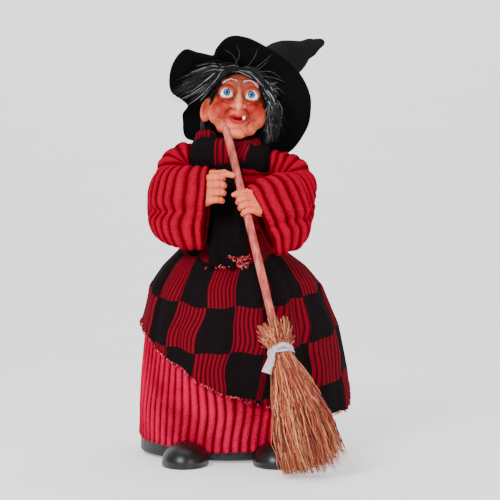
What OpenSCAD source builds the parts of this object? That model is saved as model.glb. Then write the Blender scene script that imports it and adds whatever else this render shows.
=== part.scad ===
// Animated witch figure: a battery-driven doll that turns at the waist and looks the other way.
// All sizes are in millimetres. +Z is up, the figure faces -Y, and the origin is on the floor
// under the waist axis. "Right" and "left" are the figure's own right (-X) and left (+X).

/* [Base] */
// Outer radius of the plastic drum
base_r = 77; // [76:0.5:79]
// Height of the drum's top deck
deck_z = 28; // [27.5:0.5:30]
// Wall of the drum
base_wall = 2.4; // [1.6:0.2:2.6]
// Thickness of the rubber feet
foot_h = 2; // [1.5:0.5:3]
// Distance of each shoe from the centre line
shoe_x = 36; // [32:1:38]

/* [Skirt] */
// Radius of the skirt at the hem
hem_r = 80.5; // [79:0.5:84]
// Height of the hem
hem_z = 8; // [6:1:12]
// Thickness of the wide-wale cloth
cloth_t = 2.2; // [1.6:0.2:2.6]
// Thickness of the knitted shawl
knit_t = 1.8; // [1.2:0.2:2]

/* [Drive] */
// Tooth size of every gear
gear_module = 0.5; // [0.5:0.1:0.5]
// Teeth on each small pinion
pinion_teeth = 12; // [12:1:12]
// Teeth on each large wheel
wheel_teeth = 48; // [48:1:48]
// Teeth on the full circle of the sector gear
sector_teeth = 72; // [72:1:72]
// Teeth on the fixed gear of the neck drive
sun_teeth = 30; // [30:1:30]
// Teeth on the planet's upper gear
planet_upper_teeth = 20; // [20:1:20]
// Teeth on the head's gear
head_teeth = 22; // [22:1:22]

/* [Head] */
// Centre of the head, to the figure's left of the axis
head_x = 3; // [2:0.5:4]
// Height of the middle of the head
head_z = 288; // [287:0.5:290]
// Wall of the vinyl head
head_wall = 2.2; // [1.6:0.2:2.4]
// Radius of each eyeball
eye_r = 6; // [5.5:0.1:6]

/* [Broom] */
// Radius of the broomstick
stick_r = 3.2; // [2.8:0.1:3.2]
// Radius of the bristle bundle at its tie
tie_r = 9; // [8:0.5:9]

/* [Hidden] */
$fn = 64;

slip = 0.05;                        // radial running clearance of shafts in holes
plate_t = 2.4;                      // base plate
plate_top = foot_h + plate_t;
plate_r = base_r - base_wall - 0.4;
deck_t = 2.4;

// Battery bay: three AA cells side by side, lying along X
cell_r = 7.25;
cell_len = 50.5;
cell_pitch = 15;
bay_x = 29;
bay_y0 = 14.5;
bay_y1 = 61.5;
bay_top = plate_top + 16;
bay_wall = 1.5;
bay_mid_y = (bay_y0 + bay_y1) / 2;
cell_z = plate_top + 0.5 + cell_r;
door_x = 27;
door_lip = 1.5;                     // how far the bay's edge overhangs the door, in Y
door_gap = 0.3;
door_screw_y = bay_y0 - 6;

plate_screw_r = 66;
speaker_y = -36;
speaker_r = 19;
switch_x = 50;
board_x = -52;

// Gear train, seen from above: turn axis at the origin
gear_addendum = 0.75;               // of wheels, in modules; pinions have 1
backlash = 0.03;                    // taken off each flank at the pitch circle
pressure = 20;
pinion_r = gear_module * pinion_teeth / 2;
wheel_r = gear_module * wheel_teeth / 2;
sector_r = gear_module * sector_teeth / 2;
second_at = [0, sector_r + pinion_r];
first_at = second_at + [wheel_r + pinion_r, 0];
motor_at = first_at - [0, wheel_r + pinion_r];
planet_at = [0, -gear_module * (sun_teeth + pinion_teeth) / 2];
case_z = 117.6;
case_floor = case_z + 2.4;
case_top = 136.6;
lid_top = case_top + 2.4;
case_wall = 2;
case_box = [[-15, -12], [29.5, 36]];
motor_r = 10;
motor_h = 25;
shaft_r = 3;
rod_r = 1.25;
axle_r = 1;

mast_r = 8;
waist_z = 176;
flange_z = lid_top + motor_h + 2.5;
flange_t = 3;
torso_z = flange_z + flange_t;
neck_plate_z = 236;
neck_plate_t = 3;
torso_top = 249;
arm_z = 228;

// Skirt outline, outside of the cloth: [radius, height]
skirt_line = [[hem_r, hem_z], [hem_r - 0.5, 40], [hem_r - 3, 78], [75, 106], [64, 140],
              [52, 157], [41, 168], [34, waist_z]];
// Torso outline, outside of the plastic
torso_line = [[26, torso_z], [27.5, 190], [30, 215], [28.5, 232], [27, 240], [20, 246],
              [13, torso_top]];
torso_wall = 1.8;
lugs = [[185, 22.1], [208, 24.3]];   // screw lugs: height, and distance from the axis

head_size = [25.5, 26.5, 31];       // half-axes of the head
eye_at = [[-10.5, -21.2, 8], [10.5, -21.2, 7]];
chin_cut_z = 262;                   // the head is open below this for the neck

// Broom: from the top of the stick to the middle of the bristle tips
broom_top = [-4.6, -40, 269];
broom_tip = [58.5, -148, 10];
broom_vec = broom_tip - broom_top;
broom_len = norm(broom_vec);
broom_polar = acos(broom_vec[2] / broom_len);
broom_azimuth = atan2(broom_vec[1], broom_vec[0]);
tie_at = 0.675 * broom_len;         // along the broom, from its top
tuft_at = 0.575 * broom_len;
fan_twist = 29;                     // turns the fan's flat side to the front

/* ---------- shared shapes ---------- */

// Involute gear outline for teeth first..last; a full gear has all its teeth
function inv(a) = tan(a) * 180 / PI - a;
function polar(r, a) = [r * cos(a), r * sin(a)];
function tooth(n, i, add) =
    let (rp = gear_module * n / 2,
         rb = rp * cos(pressure),
         ra = rp + add * gear_module,
         rf = rp - 1.25 * gear_module,
         r0 = max(rb, rf),
         half = 90 / n - backlash / rp * 180 / PI,
         mid = i * 360 / n,
         radii = [r0, r0 + (ra - r0) * 0.35, r0 + (ra - r0) * 0.7, ra],
         spread = [for (r = radii) half + inv(pressure) - inv(acos(min(1, rb / r)))])
    concat([polar(rf, mid - spread[0])],
           [for (k = [0:3]) polar(radii[k], mid - spread[k])],
           [for (k = [3:-1:0]) polar(radii[k], mid + spread[k])],
           [polar(rf, mid + spread[0])]);
function gear_outline(n, add, first, last) =
    [for (i = [first:last], p = tooth(n, i, add)) p];

module gear(n, h, add = gear_addendum) {
    linear_extrude(h) polygon(gear_outline(n, add, 0, n - 1));
}

module ring(r_out, r_in, h) {
    difference() {
        cylinder(r = r_out, h = h);
        translate([0, 0, -1]) cylinder(r = r_in, h = h + 2);
    }
}

// Shell between an outline and the same outline moved in by t
module lathe_shell(line, t, out = 0) {
    last = len(line) - 1;
    rotate_extrude($fn = 96)
        polygon(concat([for (p = line) [p[0] + out, p[1]]],
                       [for (i = [last:-1:0]) [line[i][0] + out - t, line[i][1]]]));
}

module at_each_corner(r, first = 45) {
    for (a = [first:90:first + 270]) rotate([0, 0, a]) translate([r, 0, 0]) children();
}

// Straight rod from a to b
module rod(a, b, r) {
    v = b - a;
    translate(a) rotate([0, acos(v[2] / norm(v)), atan2(v[1], v[0])])
        cylinder(r = r, h = norm(v), $fn = 24);
}

module wire(points, r) {
    for (i = [0:len(points) - 2]) rod(points[i], points[i + 1], r);
    for (i = [1:len(points) - 2]) translate(points[i]) sphere(r = r + 0.4, $fn = 24);
}

module ball(at, r) {
    translate(at) sphere(r = r, $fn = 24);
}

module screw(head_r, head_h, shank_r, length) {
    // head sits on z = 0 and the shank points up
    difference() {
        union() {
            translate([0, 0, -head_h]) cylinder(r = head_r, h = head_h, $fn = 32);
            cylinder(r = shank_r, h = length, $fn = 32);
        }
        translate([-head_r, -0.3, -head_h - 1]) cube([2 * head_r, 0.6, 1.6]);
        translate([-0.3, -head_r, -head_h - 1]) cube([0.6, 2 * head_r, 1.6]);
    }
}

/* ---------- base ---------- */

module base_drum() {
    wall_in = base_r - base_wall;
    color([0.03, 0.03, 0.035]) difference() {
        union() {
            rotate_extrude($fn = 128)
                polygon([[wall_in, foot_h], [base_r - 1.4, foot_h], [base_r, foot_h + 1.4],
                         [base_r, deck_z - 2], [base_r - 2, deck_z], [0, deck_z],
                         [0, deck_z - deck_t], [wall_in, deck_z - deck_t]]);
            at_each_corner(plate_screw_r)
                translate([0, 0, plate_top]) cylinder(r = 4, h = deck_z - deck_t - plate_top);
        }
        translate([0, 0, deck_z - 5]) cylinder(r = mast_r + 0.2, h = 10);
        at_each_corner(plate_screw_r)
            translate([0, 0, plate_top - 1]) cylinder(r = 1.3, h = 15, $fn = 32);
        at_each_corner(14)
            translate([0, 0, deck_z - 5]) cylinder(r = 1.5, h = 10, $fn = 32);
    }
}

module base_plate() {
    bay_w = bay_x + bay_wall;
    color([0.04, 0.04, 0.045]) difference() {
        union() {
            translate([0, 0, foot_h]) cylinder(r = plate_r, h = plate_t, $fn = 128);
            translate([-bay_w, bay_y0 - bay_wall, foot_h])
                cube([2 * bay_w, bay_y1 - bay_y0 + 2 * bay_wall, bay_top + bay_wall - foot_h]);
            translate([0, door_screw_y, foot_h]) cylinder(r = 3.4, h = 9);
            for (x = [-11, 11], y = [-17, 17])
                translate([board_x + x, y, plate_top - 1]) cylinder(r = 2, h = 4.6);
        }
        translate([-bay_x, bay_y0, plate_top])
            cube([2 * bay_x, bay_y1 - bay_y0, bay_top - plate_top]);
        translate([-door_x, bay_y0 + door_lip, foot_h - 1])
            cube([2 * door_x, bay_y1 - bay_y0 - 2 * door_lip, plate_t + 2]);
        // notch for the door's screw tab
        translate([-5 - door_gap, door_screw_y - 5 - door_gap, foot_h - 1])
            cube([10 + 2 * door_gap, bay_y0 - door_screw_y + 8, 1 + 1.4 + door_gap]);
        translate([0, door_screw_y, foot_h]) cylinder(r = 1.3, h = 8, $fn = 32);
        at_each_corner(plate_screw_r) {
            translate([0, 0, foot_h - 1]) cylinder(r = 1.6, h = 5, $fn = 32);
            translate([0, 0, foot_h - 1]) cylinder(r = 3, h = 2.2, $fn = 32);
        }
        translate([switch_x - 1.6, -5.3, foot_h - 1]) cube([3.2, 10.6, 5]);
        speaker_grille();
    }
}

module speaker_grille() {
    for (row = [0:2], i = [0:max(0, row * 6 - 1)])
        rotate_about_speaker(i * 60 / max(1, row))
            translate([row * 5.2, 0, foot_h - 1]) cylinder(r = 1.2, h = 5, $fn = 24);
}

module rotate_about_speaker(angle) {
    translate([0, speaker_y, 0]) rotate([0, 0, angle]) children();
}

module rubber_feet() {
    color([0.12, 0.12, 0.12]) {
        for (a = [20, 160, 200, 340])
            rotate([0, 0, a]) translate([64, 0, 0]) cylinder(r = 6.5, h = foot_h);
        cylinder(r = 3, h = foot_h);
    }
}

module base_screws() {
    color([0.7, 0.7, 0.72]) {
        at_each_corner(plate_screw_r)
            translate([0, 0, foot_h + 1.2]) screw(2.8, 1.1, 1.25, 12);
        at_each_corner(14)
            translate([0, 0, deck_z + 3]) mirror([0, 0, 1]) screw(2.7, 1.8, 1.4, 5.5);
    }
}

module shoe(side) {
    color([0.02, 0.02, 0.025]) difference() {
        translate([side * shoe_x, -75, 0]) scale([18.5, 35, 20]) sphere(r = 1, $fn = 40);
        translate([side * shoe_x - 30, -130, -60]) cube([60, 120, 60]);
        cylinder(r = base_r + 0.05, h = 60, center = true, $fn = 128);
    }
}

module batteries() {
    color([0.1, 0.35, 0.2])
        for (i = [-1:1])
            translate([-cell_len / 2, bay_mid_y + i * cell_pitch, cell_z]) rotate([0, 90, 0]) {
                cylinder(r = cell_r, h = cell_len - 1.2);
                translate([0, 0, cell_len - 1.2]) cylinder(r = 2.7, h = 1.2);
            }
}

module battery_contacts() {
    free = bay_x - cell_len / 2;
    color([0.75, 0.75, 0.72])
        for (i = [-1:1], side = [-1, 1])
            translate([side * bay_x, bay_mid_y + i * cell_pitch, cell_z]) rotate([0, -side * 90, 0]) {
                translate([-5, -5, 0]) cube([10, 10, 0.5]);
                // spring turns on the flat end, a pressed dome on the button end
                if (side < 0)
                    for (turn = [0:2])
                        translate([0, 0, 0.5 + turn * 0.95]) ring(4.6 - turn, 3.8 - turn, 0.95);
                else
                    translate([0, 0, 0.5]) cylinder(r1 = 3, r2 = 1.8, h = free - 0.6);
            }
}

module battery_door() {
    y0 = bay_y0 + door_lip + door_gap;
    y1 = bay_y1 - door_lip - door_gap;
    color([0.05, 0.05, 0.055]) difference() {
        union() {
            translate([-door_x + door_gap, y0, foot_h + 0.2])
                cube([2 * (door_x - door_gap), y1 - y0, plate_t - 0.6]);
            translate([-5, door_screw_y - 5, foot_h + 0.2])
                cube([10, y0 - door_screw_y + 6, 1.2]);
        }
        translate([0, door_screw_y, foot_h - 1]) cylinder(r = 1.7, h = 5, $fn = 32);
        for (i = [0:4])
            translate([-10, y1 - 4 - 2.4 * i, foot_h]) cube([20, 1.2, 0.6]);
    }
}

module door_screw() {
    color([0.7, 0.7, 0.72])
        translate([0, door_screw_y, foot_h + 0.2]) screw(2.6, 1.2, 1.2, 7);
}

module speaker_basket() {
    color([0.35, 0.35, 0.36]) translate([0, speaker_y, plate_top])
        rotate_extrude()
            polygon([[speaker_r - 1.5, 0], [speaker_r, 0], [speaker_r, 1.2], [speaker_r - 2, 2],
                     [9, 9], [9, 10], [4.5, 10], [4.5, 8.8], [8, 8.8], [speaker_r - 3.2, 1.6]]);
}

module speaker_cone() {
    color([0.08, 0.08, 0.08]) translate([0, speaker_y, plate_top])
        rotate_extrude()
            polygon([[0, 4.6], [5, 4.2], [speaker_r - 3.9, 0.7], [speaker_r - 2.7, 0.3],
                     [speaker_r - 2.7, 0.8], [speaker_r - 3.7, 1.2], [5.2, 5.2], [4, 6.4], [0, 6.4]]);
}

module speaker_magnet() {
    color([0.5, 0.5, 0.52]) translate([0, speaker_y, plate_top + 10]) cylinder(r = 9, h = 6);
}

module circuit_board() {
    color([0.1, 0.4, 0.2]) difference() {
        translate([board_x - 13, -20, plate_top + 3.6]) cube([26, 40, 1.6]);
        for (y = [-8, 8]) translate([board_x + 10, y, 0]) cylinder(r = 0.8, h = 20, $fn = 24);
    }
}

module board_components() {
    top = plate_top + 5.2;
    color([0.05, 0.05, 0.05]) {
        translate([board_x - 6, -5, top]) cube([8, 10, 1.6]);
        translate([board_x + 8, 14, top]) cylinder(r = 3, h = 8);
        translate([board_x + 6, -14, top]) cylinder(r = 2.4, h = 6);
        translate([board_x - 8, -14, top]) cylinder(r = 3, h = 3.6);
        for (y = [9, 12, 15]) translate([board_x - 9, y, top]) cube([5, 1.4, 1.2]);
    }
}

module switch_case() {
    color([0.6, 0.6, 0.62]) difference() {
        translate([switch_x - 4, -8.5, plate_top]) cube([8, 17, 6.4]);
        translate([switch_x - 2.6, -6.6, plate_top - 1]) cube([5.2, 13.2, 5.6]);
    }
}

module switch_knob() {
    color([0.02, 0.02, 0.02]) {
        translate([switch_x - 1.3, -5, 0.9]) cube([2.6, 4, plate_top - 0.9 + 0.7]);
        translate([switch_x - 2.3, -6.3, plate_top + 0.7]) cube([4.6, 6, 3]);
    }
}

/* ---------- drive ---------- */

module mast() {
    color([0.75, 0.75, 0.72]) difference() {
        union() {
            translate([0, 0, deck_z]) cylinder(r = 20, h = 3);
            translate([0, 0, deck_z - deck_t]) cylinder(r = mast_r, h = case_z - deck_z + deck_t);
            for (a = [0:90:270]) rotate([0, 0, a])
                translate([mast_r - 1, -1, deck_z + 3]) cube([8, 2, 9]);
        }
        translate([0, 0, deck_z - 5]) cylinder(r = 5.4, h = 81);
        translate([0, 0, 100]) cylinder(r = rod_r + 0.02, h = 20, $fn = 32);
        at_each_corner(14) translate([0, 0, deck_z - 1]) cylinder(r = 1.5, h = 6, $fn = 32);
    }
}

module case_outline(inset) {
    a = case_box[0] + [inset, inset];
    b = case_box[1] - [inset, inset];
    c = 3;
    polygon([[a[0] + c, a[1]], [b[0] - c, a[1]], [b[0], a[1] + c], [b[0], b[1] - c],
             [b[0] - c, b[1]], [a[0] + c, b[1]], [a[0], b[1] - c], [a[0], a[1] + c]]);
}

module gear_case() {
    color([0.8, 0.8, 0.78]) difference() {
        translate([0, 0, case_z]) linear_extrude(case_top - case_z) case_outline(0);
        translate([0, 0, case_floor]) linear_extrude(30) case_outline(case_wall);
        translate([0, 0, case_z - 1]) cylinder(r = shaft_r + slip, h = 10);
        for (p = [first_at, second_at])
            translate([p[0], p[1], case_z + 1]) cylinder(r = axle_r + 0.02, h = 10, $fn = 32);
    }
}

module gear_case_lid() {
    color([0.82, 0.82, 0.8]) difference() {
        union() {
            translate([0, 0, case_top]) linear_extrude(lid_top - case_top) case_outline(0);
            translate([0, 0, lid_top]) cylinder(r = 5.4, h = 4);
        }
        translate([0, 0, case_top - 1]) cylinder(r = shaft_r + slip, h = 10);
        translate([motor_at[0], motor_at[1], case_top - 1]) cylinder(r = 3.2, h = 5);
        for (p = [first_at, second_at])
            translate([p[0], p[1], case_top - 1]) cylinder(r = axle_r + 0.02, h = 2.2, $fn = 32);
    }
}

module gear_axles() {
    color([0.72, 0.72, 0.75])
        for (p = [first_at, second_at])
            translate([p[0], p[1], case_z + 1.1]) cylinder(r = axle_r, h = case_top - case_z, $fn = 32);
}

module motor() {
    color([0.7, 0.7, 0.72]) translate([motor_at[0], motor_at[1], lid_top]) difference() {
        union() {
            intersection() {
                cylinder(r = motor_r, h = motor_h);
                translate([-motor_r, -7.6, -1]) cube([2 * motor_r, 15.2, 40]);
            }
            translate([-3, -9.2, motor_h - 5]) cube([6, 18.4, 0.8]);
        }
        translate([0, 0, -1]) cylinder(r = 1.15, h = 5, $fn = 32);
    }
}

module motor_pinion() {
    color([0.85, 0.75, 0.3]) translate([motor_at[0], motor_at[1], 0]) {
        translate([0, 0, 129.8]) rotate([0, 0, 90 + 180 / pinion_teeth]) gear(pinion_teeth, 4.8, 1);
        translate([0, 0, 134.6]) cylinder(r = axle_r, h = 7, $fn = 32);
    }
}

module compound_wheel(pinion_z, pinion_h, wheel_z, wheel_h, pinion_turn, wheel_turn) {
    difference() {
        union() {
            translate([0, 0, pinion_z]) rotate([0, 0, pinion_turn]) gear(pinion_teeth, pinion_h, 1);
            translate([0, 0, wheel_z]) rotate([0, 0, wheel_turn]) gear(wheel_teeth, wheel_h);
        }
        translate([0, 0, pinion_z - 10]) cylinder(r = axle_r + slip, h = 40, $fn = 32);
    }
}

module first_wheel() {
    color([0.95, 0.95, 0.92]) translate([first_at[0], first_at[1], 0]) {
        compound_wheel(126.2, 4.2, 130.4, 3, 180 + 180 / pinion_teeth, 270);
        translate([0, 0, case_floor + 0.2]) ring(2, axle_r + slip, 126.2 - case_floor - 0.2);
    }
}

module second_wheel() {
    color([0.95, 0.95, 0.92]) translate([second_at[0], second_at[1], 0])
        compound_wheel(case_floor + 0.4, 126.6 - case_floor - 0.4, 126.6, 3,
                       270 + 180 / pinion_teeth, 0);
}

module turn_shaft() {
    color([0.75, 0.75, 0.78])
        translate([0, 0, case_z + 0.1]) ring(shaft_r, rod_r + 0.35, torso_z + 2 - case_z);
}

module sector_gear() {
    color([0.9, 0.9, 0.88]) difference() {
        union() {
            translate([0, 0, 121]) rotate([0, 0, 90])
                linear_extrude(4) polygon(concat([[0, 0]], gear_outline(sector_teeth, gear_addendum, -4, 4)));
            translate([0, 0, case_floor + 0.2]) cylinder(r = 5.5, h = 6);
        }
        translate([0, 0, 110]) cylinder(r = shaft_r + 0.02, h = 30);
    }
}

module centre_rod() {
    color([0.78, 0.78, 0.8]) translate([0, 0, 101]) cylinder(r = rod_r, h = 129.6, $fn = 32);
}

module sun_gear() {
    color([0.95, 0.95, 0.92]) difference() {
        union() {
            translate([0, 0, 226.5]) rotate([0, 0, -90]) gear(sun_teeth, 3);
            translate([0, 0, 222]) cylinder(r = 3, h = 4.5);
        }
        translate([0, 0, 220]) cylinder(r = rod_r + 0.02, h = 12, $fn = 32);
    }
}

module planet_gear() {
    color([0.95, 0.95, 0.92]) translate([planet_at[0], planet_at[1], 0]) difference() {
        union() {
            translate([0, 0, 226]) rotate([0, 0, 90 + 180 / pinion_teeth]) gear(pinion_teeth, 4, 1);
            translate([0, 0, 230]) cylinder(r = 2.3, h = 1.6);
            translate([0, 0, 231.6]) rotate([0, 0, 90]) gear(planet_upper_teeth, 3.6);
        }
        translate([0, 0, 220]) cylinder(r = axle_r + slip, h = 30, $fn = 32);
    }
}

module head_gear() {
    color([0.95, 0.95, 0.92]) difference() {
        translate([0, 0, 231.8]) rotate([0, 0, -90 + 180 / head_teeth]) gear(head_teeth, 3.4);
        translate([0, 0, 230]) cylinder(r = 3.02, h = 10);
    }
}

/* ---------- torso ---------- */

module neck_tube() {
    color([0.85, 0.83, 0.8]) difference() {
        union() {
            translate([0, 0, 231.8]) cylinder(r = 3, h = 3.4);
            translate([0, 0, 235.2]) cylinder(r = 5, h = chin_cut_z + 8 - 235.2);
            translate([0, 0, neck_plate_z + neck_plate_t + 0.2]) cylinder(r = 8, h = 2);
        }
        translate([0, 0, 240]) cylinder(r = 3.4, h = 50);
    }
}

module waist_flange() {
    color([0.3, 0.3, 0.32]) difference() {
        union() {
            translate([0, 0, flange_z]) cylinder(r = 27, h = flange_t);
            translate([0, 0, flange_z]) cylinder(r = 7, h = flange_t + 3);
        }
        translate([0, 0, flange_z - 1]) cylinder(r = shaft_r + 0.02, h = 10);
        for (x = [-14, 14]) translate([x, 13, flange_z - 1]) cylinder(r = 1.3, h = 10, $fn = 32);
    }
}

module torso_frame() {
    color([0.82, 0.82, 0.8]) difference() {
        union() {
            translate([0, 0, neck_plate_z]) cylinder(r = 22, h = neck_plate_t);
            for (x = [-14, 14])
                translate([x, 13, torso_z]) cylinder(r = 2.6, h = neck_plate_z - torso_z + 0.5);
            // sockets that hold the arm wires
            for (x = [-1, 1]) translate([x * 14.5 - 2.5, -3, arm_z - 3]) cube([5, 15, 6]);
            // pin that carries the planet gear, with a stop under it
            translate([planet_at[0], planet_at[1], 225]) cylinder(r = axle_r, h = 12, $fn = 32);
            translate([planet_at[0], planet_at[1], 224.6]) cylinder(r = 2.2, h = 1.2, $fn = 32);
        }
        translate([0, 0, neck_plate_z - 1]) cylinder(r = 5 + slip, h = 10);
        for (x = [-14, 14]) translate([x, 13, torso_z - 1]) cylinder(r = 1.1, h = 9, $fn = 32);
        for (x = [-20, 13.9])
            translate([x, 0, arm_z]) rotate([0, 90, 0]) cylinder(r = 1.52, h = 6.1, $fn = 32);
    }
}

module torso_half(side) {
    difference() {
        lathe_shell(torso_line, torso_wall);
        translate([-60, side > 0 ? -60 : -0.02, torso_z - 1]) cube([120, 60.02, 100]);
        for (x = [-50, 10])
            translate([x, 0, arm_z]) rotate([0, 90, 0]) cylinder(r = 1.55, h = 40, $fn = 32);
    }
    // screw lugs along the split: [height, distance of the screw from the axis]
    for (x = [-1, 1], lug = lugs)
        difference() {
            intersection() {
                translate([x * (lug[1] + 2) - 5, side * 3.05 - 3, lug[0] - 2.8]) cube([10, 6, 5.6]);
                cylinder(r = lug[1] + 3.6, h = 400);
            }
            translate([x * lug[1], 20, lug[0]]) rotate([90, 0, 0]) cylinder(r = 1.2, h = 40, $fn = 32);
        }
}

module torso_front() {
    color([0.28, 0.28, 0.3]) torso_half(-1);
}

module torso_back() {
    color([0.28, 0.28, 0.3]) torso_half(1);
}

module torso_screws() {
    color([0.7, 0.7, 0.72]) {
        for (x = [-1, 1], lug = lugs)
            translate([x * lug[1], 6.1, lug[0]]) rotate([90, 0, 0]) screw(1.9, 1.2, 1.1, 11);
        for (x = [-14, 14]) translate([x, 13, flange_z]) screw(2.4, 1.2, 1.05, 9);
    }
}

// Wrist and elbow of each arm: [shoulder, upper arm, elbow, wrist]
arm_right = [[-14, 0, arm_z], [-40, 0, arm_z], [-54, -16, 210], [-13, -54, 215]];
arm_left = [[14, 0, arm_z], [40, 0, arm_z], [54, -18, 206], [20, -55, 203]];

module arm_wire_right() {
    color([0.7, 0.7, 0.7]) wire(arm_right, 1.5);
}

module arm_wire_left() {
    color([0.7, 0.7, 0.7]) wire(arm_left, 1.5);
}

module finger(points, r) {
    for (i = [0:len(points) - 2])
        hull() {
            ball(points[i], r);
            ball(points[i + 1], r * 0.94);
        }
}

module hand_right() {
    color([0.85, 0.45, 0.28]) difference() {
        union() {
            hull() for (x = [-16, -9], z = [206, 224]) ball([x, -57, z], 5.2);
            hull() for (z = [206, 222]) ball([-7.5, -60, z], 4.2);
            finger([[-7, -58, 225], [-1, -61, 225.5], [4, -62, 222]], 2.6);
        }
        along_broom() cylinder(r = stick_r + 0.03, h = broom_len);
        wire(arm_right, 1.52);
    }
}

module hand_left() {
    color([0.85, 0.45, 0.28]) difference() {
        union() {
            hull() for (x = [11, 18], z = [194, 211]) ball([x + (211 - z) * 0.2, -62, z], 5.4);
            hull() {
                ball([5.4, -64, 211], 4.4);
                ball([9.6, -68, 193], 4.4);
                ball([11.4, -66, 203], 5);
            }
            finger([[6.5, -63, 209], [2.4, -65.4, 206.5]], 2.4);
        }
        along_broom() cylinder(r = stick_r + 0.03, h = broom_len);
        wire(arm_left, 1.52);
    }
}

/* ---------- clothes ---------- */

module bodice() {
    line = [for (p = torso_line) if (p[1] > torso_z && p[1] < torso_top) p];
    color([0.75, 0.03, 0.08]) difference() {
        lathe_shell(concat([[26.4, torso_z + 4]], line), -cloth_t + 0.4, 0.4);
        translate([-50, 0, arm_z]) rotate([0, 90, 0]) cylinder(r = 2, h = 100, $fn = 32);
    }
}

module sleeve_right() {
    color([0.78, 0.03, 0.08]) difference() {
        union() {
            hull() {
                ball([-41, 3, 234], 15);
                ball([-51, -10, 212], 18);
            }
            hull() {
                ball([-51, -14, 208], 18);
                ball([-42, -30, 188], 17.5);
                cuff([-24, -50, 218], [0.85, -0.5, 0], 16);
                cuff([-26, -47, 187], [0.85, -0.5, 0], 17);
            }
        }
        cylinder(r = 33.4, h = 300);
        cuff_room([-17, -57, 214]);
        scarf_room();
        wire(arm_right, 1.55);
    }
}

module sleeve_left() {
    color([0.78, 0.03, 0.08]) difference() {
        union() {
            hull() {
                ball([41, 3, 234], 15);
                ball([50, -10, 212], 18);
            }
            hull() {
                ball([50, -14, 206], 18);
                ball([45, -28, 187], 18);
                cuff([26, -50, 200], [-0.85, -0.5, 0.25], 15);
                cuff([33, -46, 186], [-0.85, -0.5, 0.25], 18);
            }
        }
        cylinder(r = 33.4, h = 300);
        cuff_room([19, -60, 203]);
        scarf_room();
        wire(arm_left, 1.55);
    }
}

// Round mouth of a sleeve: a thin disc facing along a direction
module cuff(at, facing, r) {
    rod(at, at + 2 * facing, r);
}

// Space in front of the chest for the scarf's end
module scarf_room() {
    translate([-21, -46, 150]) cube([33, 40, 110]);
}

// Space that a hand takes in the mouth of its sleeve
module cuff_room(at) {
    translate(at) cube([20, 15, 34], center = true);
}

module skirt_form() {
    inner = [for (i = [0:4]) [skirt_line[i][0] - cloth_t - 1.2, max(skirt_line[i][1], deck_z)]];
    color([0.85, 0.85, 0.82]) {
        difference() {
            rotate_extrude($fn = 96)
                polygon([[base_r - 3, deck_z], [inner[1][0] - 1, 40], [inner[2][0], 78],
                         [inner[3][0], 106], [inner[4][0], 140], [50, 150], [50, 148.6],
                         [inner[4][0] - 1.4, 138.4], [inner[3][0] - 1.4, 105],
                         [inner[2][0] - 1.4, 77.6], [inner[1][0] - 2.6, 40], [base_r - 5, deck_z]]);
        }
        difference() {
            translate([0, 0, lid_top]) linear_extrude(2) {
                case_outline(-4);
                for (a = [60, 150, 240, 330]) rotate(a) translate([10, -4]) square([48.3, 8]);
            }
            translate([0, 0, lid_top - 1]) linear_extrude(4) case_outline(4);
        }
    }
}

module skirt() {
    color([0.85, 0.03, 0.12]) difference() {
        lathe_shell(skirt_line, cloth_t);
        for (side = [-1, 1])
            translate([side * shoe_x, -50, 0]) rotate([90, 0, 0]) cylinder(r = 21.5, h = 60);
    }
}

// Height of the shawl's edge round the doll, by angle from the front towards its left
shawl_hem = [[-180, 114], [-110, 113], [-85, 110], [-70, 106], [-55, 97.5], [-42, 86], [-26, 72.5],
             [-10, 60], [5, 51.5], [17, 46.5],
             [40, 39], [62, 36], [78, 40], [92, 52], [115, 74], [150, 104], [180, 114]];
shawl_steps = 80;
shawl_lower = 8;
shawl_levels = [182, 176, 168, 157, 140, 128, 120];
function clamp(x) = min(max(x, 0), 1);
function shawl_height(a, j) =
    j < len(shawl_levels) ? shawl_levels[j]
    : 120 + (lookup(a, shawl_hem) - 120) * (j - len(shawl_levels) + 1) / shawl_lower;
function shawl_flare(a, z) =
    (5 + 8 * clamp((150 - z) / 105)) * bump(a, 84, 34) * clamp((182 - z) / 30);
function shawl_fold(a, z) = 1.4 * abs(sin(7 * a + 30)) * clamp((182 - z) / 54);
function shawl_point(a, j, side) =
    let (z = shawl_height(a, j),
         line = concat([[182, 32]], [for (p = skirt_line) [p[1], p[0]]]),
         r = lookup(z, line) + 0.6 + shawl_flare(a, z) + shawl_fold(a, z) + side * knit_t)
    [r * sin(a), -r * cos(a), z];

module shawl() {
    n = shawl_steps;
    m = len(shawl_levels) + shawl_lower - 1;
    size = (m + 1) * n;
    outer = [for (j = [0:m], i = [0:n - 1]) shawl_point(i * 360 / n - 180, j, 1)];
    inner = [for (j = [0:m], i = [0:n - 1]) shawl_point(i * 360 / n - 180, j, 0)];
    function quads(o, flip) =
        [for (j = [0:m - 1], i = [0:n - 1])
            let (a = o + j * n + i, b = o + j * n + (i + 1) % n, c = b + n, d = a + n)
            each flip ? [[a, c, b], [a, d, c]] : [[a, b, c], [a, c, d]]];
    top_rim = [for (i = [0:n - 1]) let (b = (i + 1) % n)
               each [[i, i + size, b + size], [i, b + size, b]]];
    hem_rim = [for (i = [0:n - 1]) let (a = m * n + i, b = m * n + (i + 1) % n)
               each [[a, b, b + size], [a, b + size, a + size]]];
    color([0.45, 0.03, 0.06])
        polyhedron(points = concat(outer, inner),
                   faces = concat(quads(0, false), quads(size, true), top_rim, hem_rim));
}

module scarf_wrap() {
    color([0.4, 0.03, 0.06]) difference() {
        rotate_extrude($fn = 96)
            polygon([for (a = [0:15:345]) [23.5 + 10.5 * cos(a), 250.8 + 13 * sin(a)]]);
        cylinder(r = 9.6, h = 300);
        for (cut = [[torso_top + 0.3, 22.4], [246.2, 29.2], [240, 30]])
            translate([0, 0, 200]) cylinder(r = cut[1], h = cut[0] - 200);
    }
}

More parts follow.
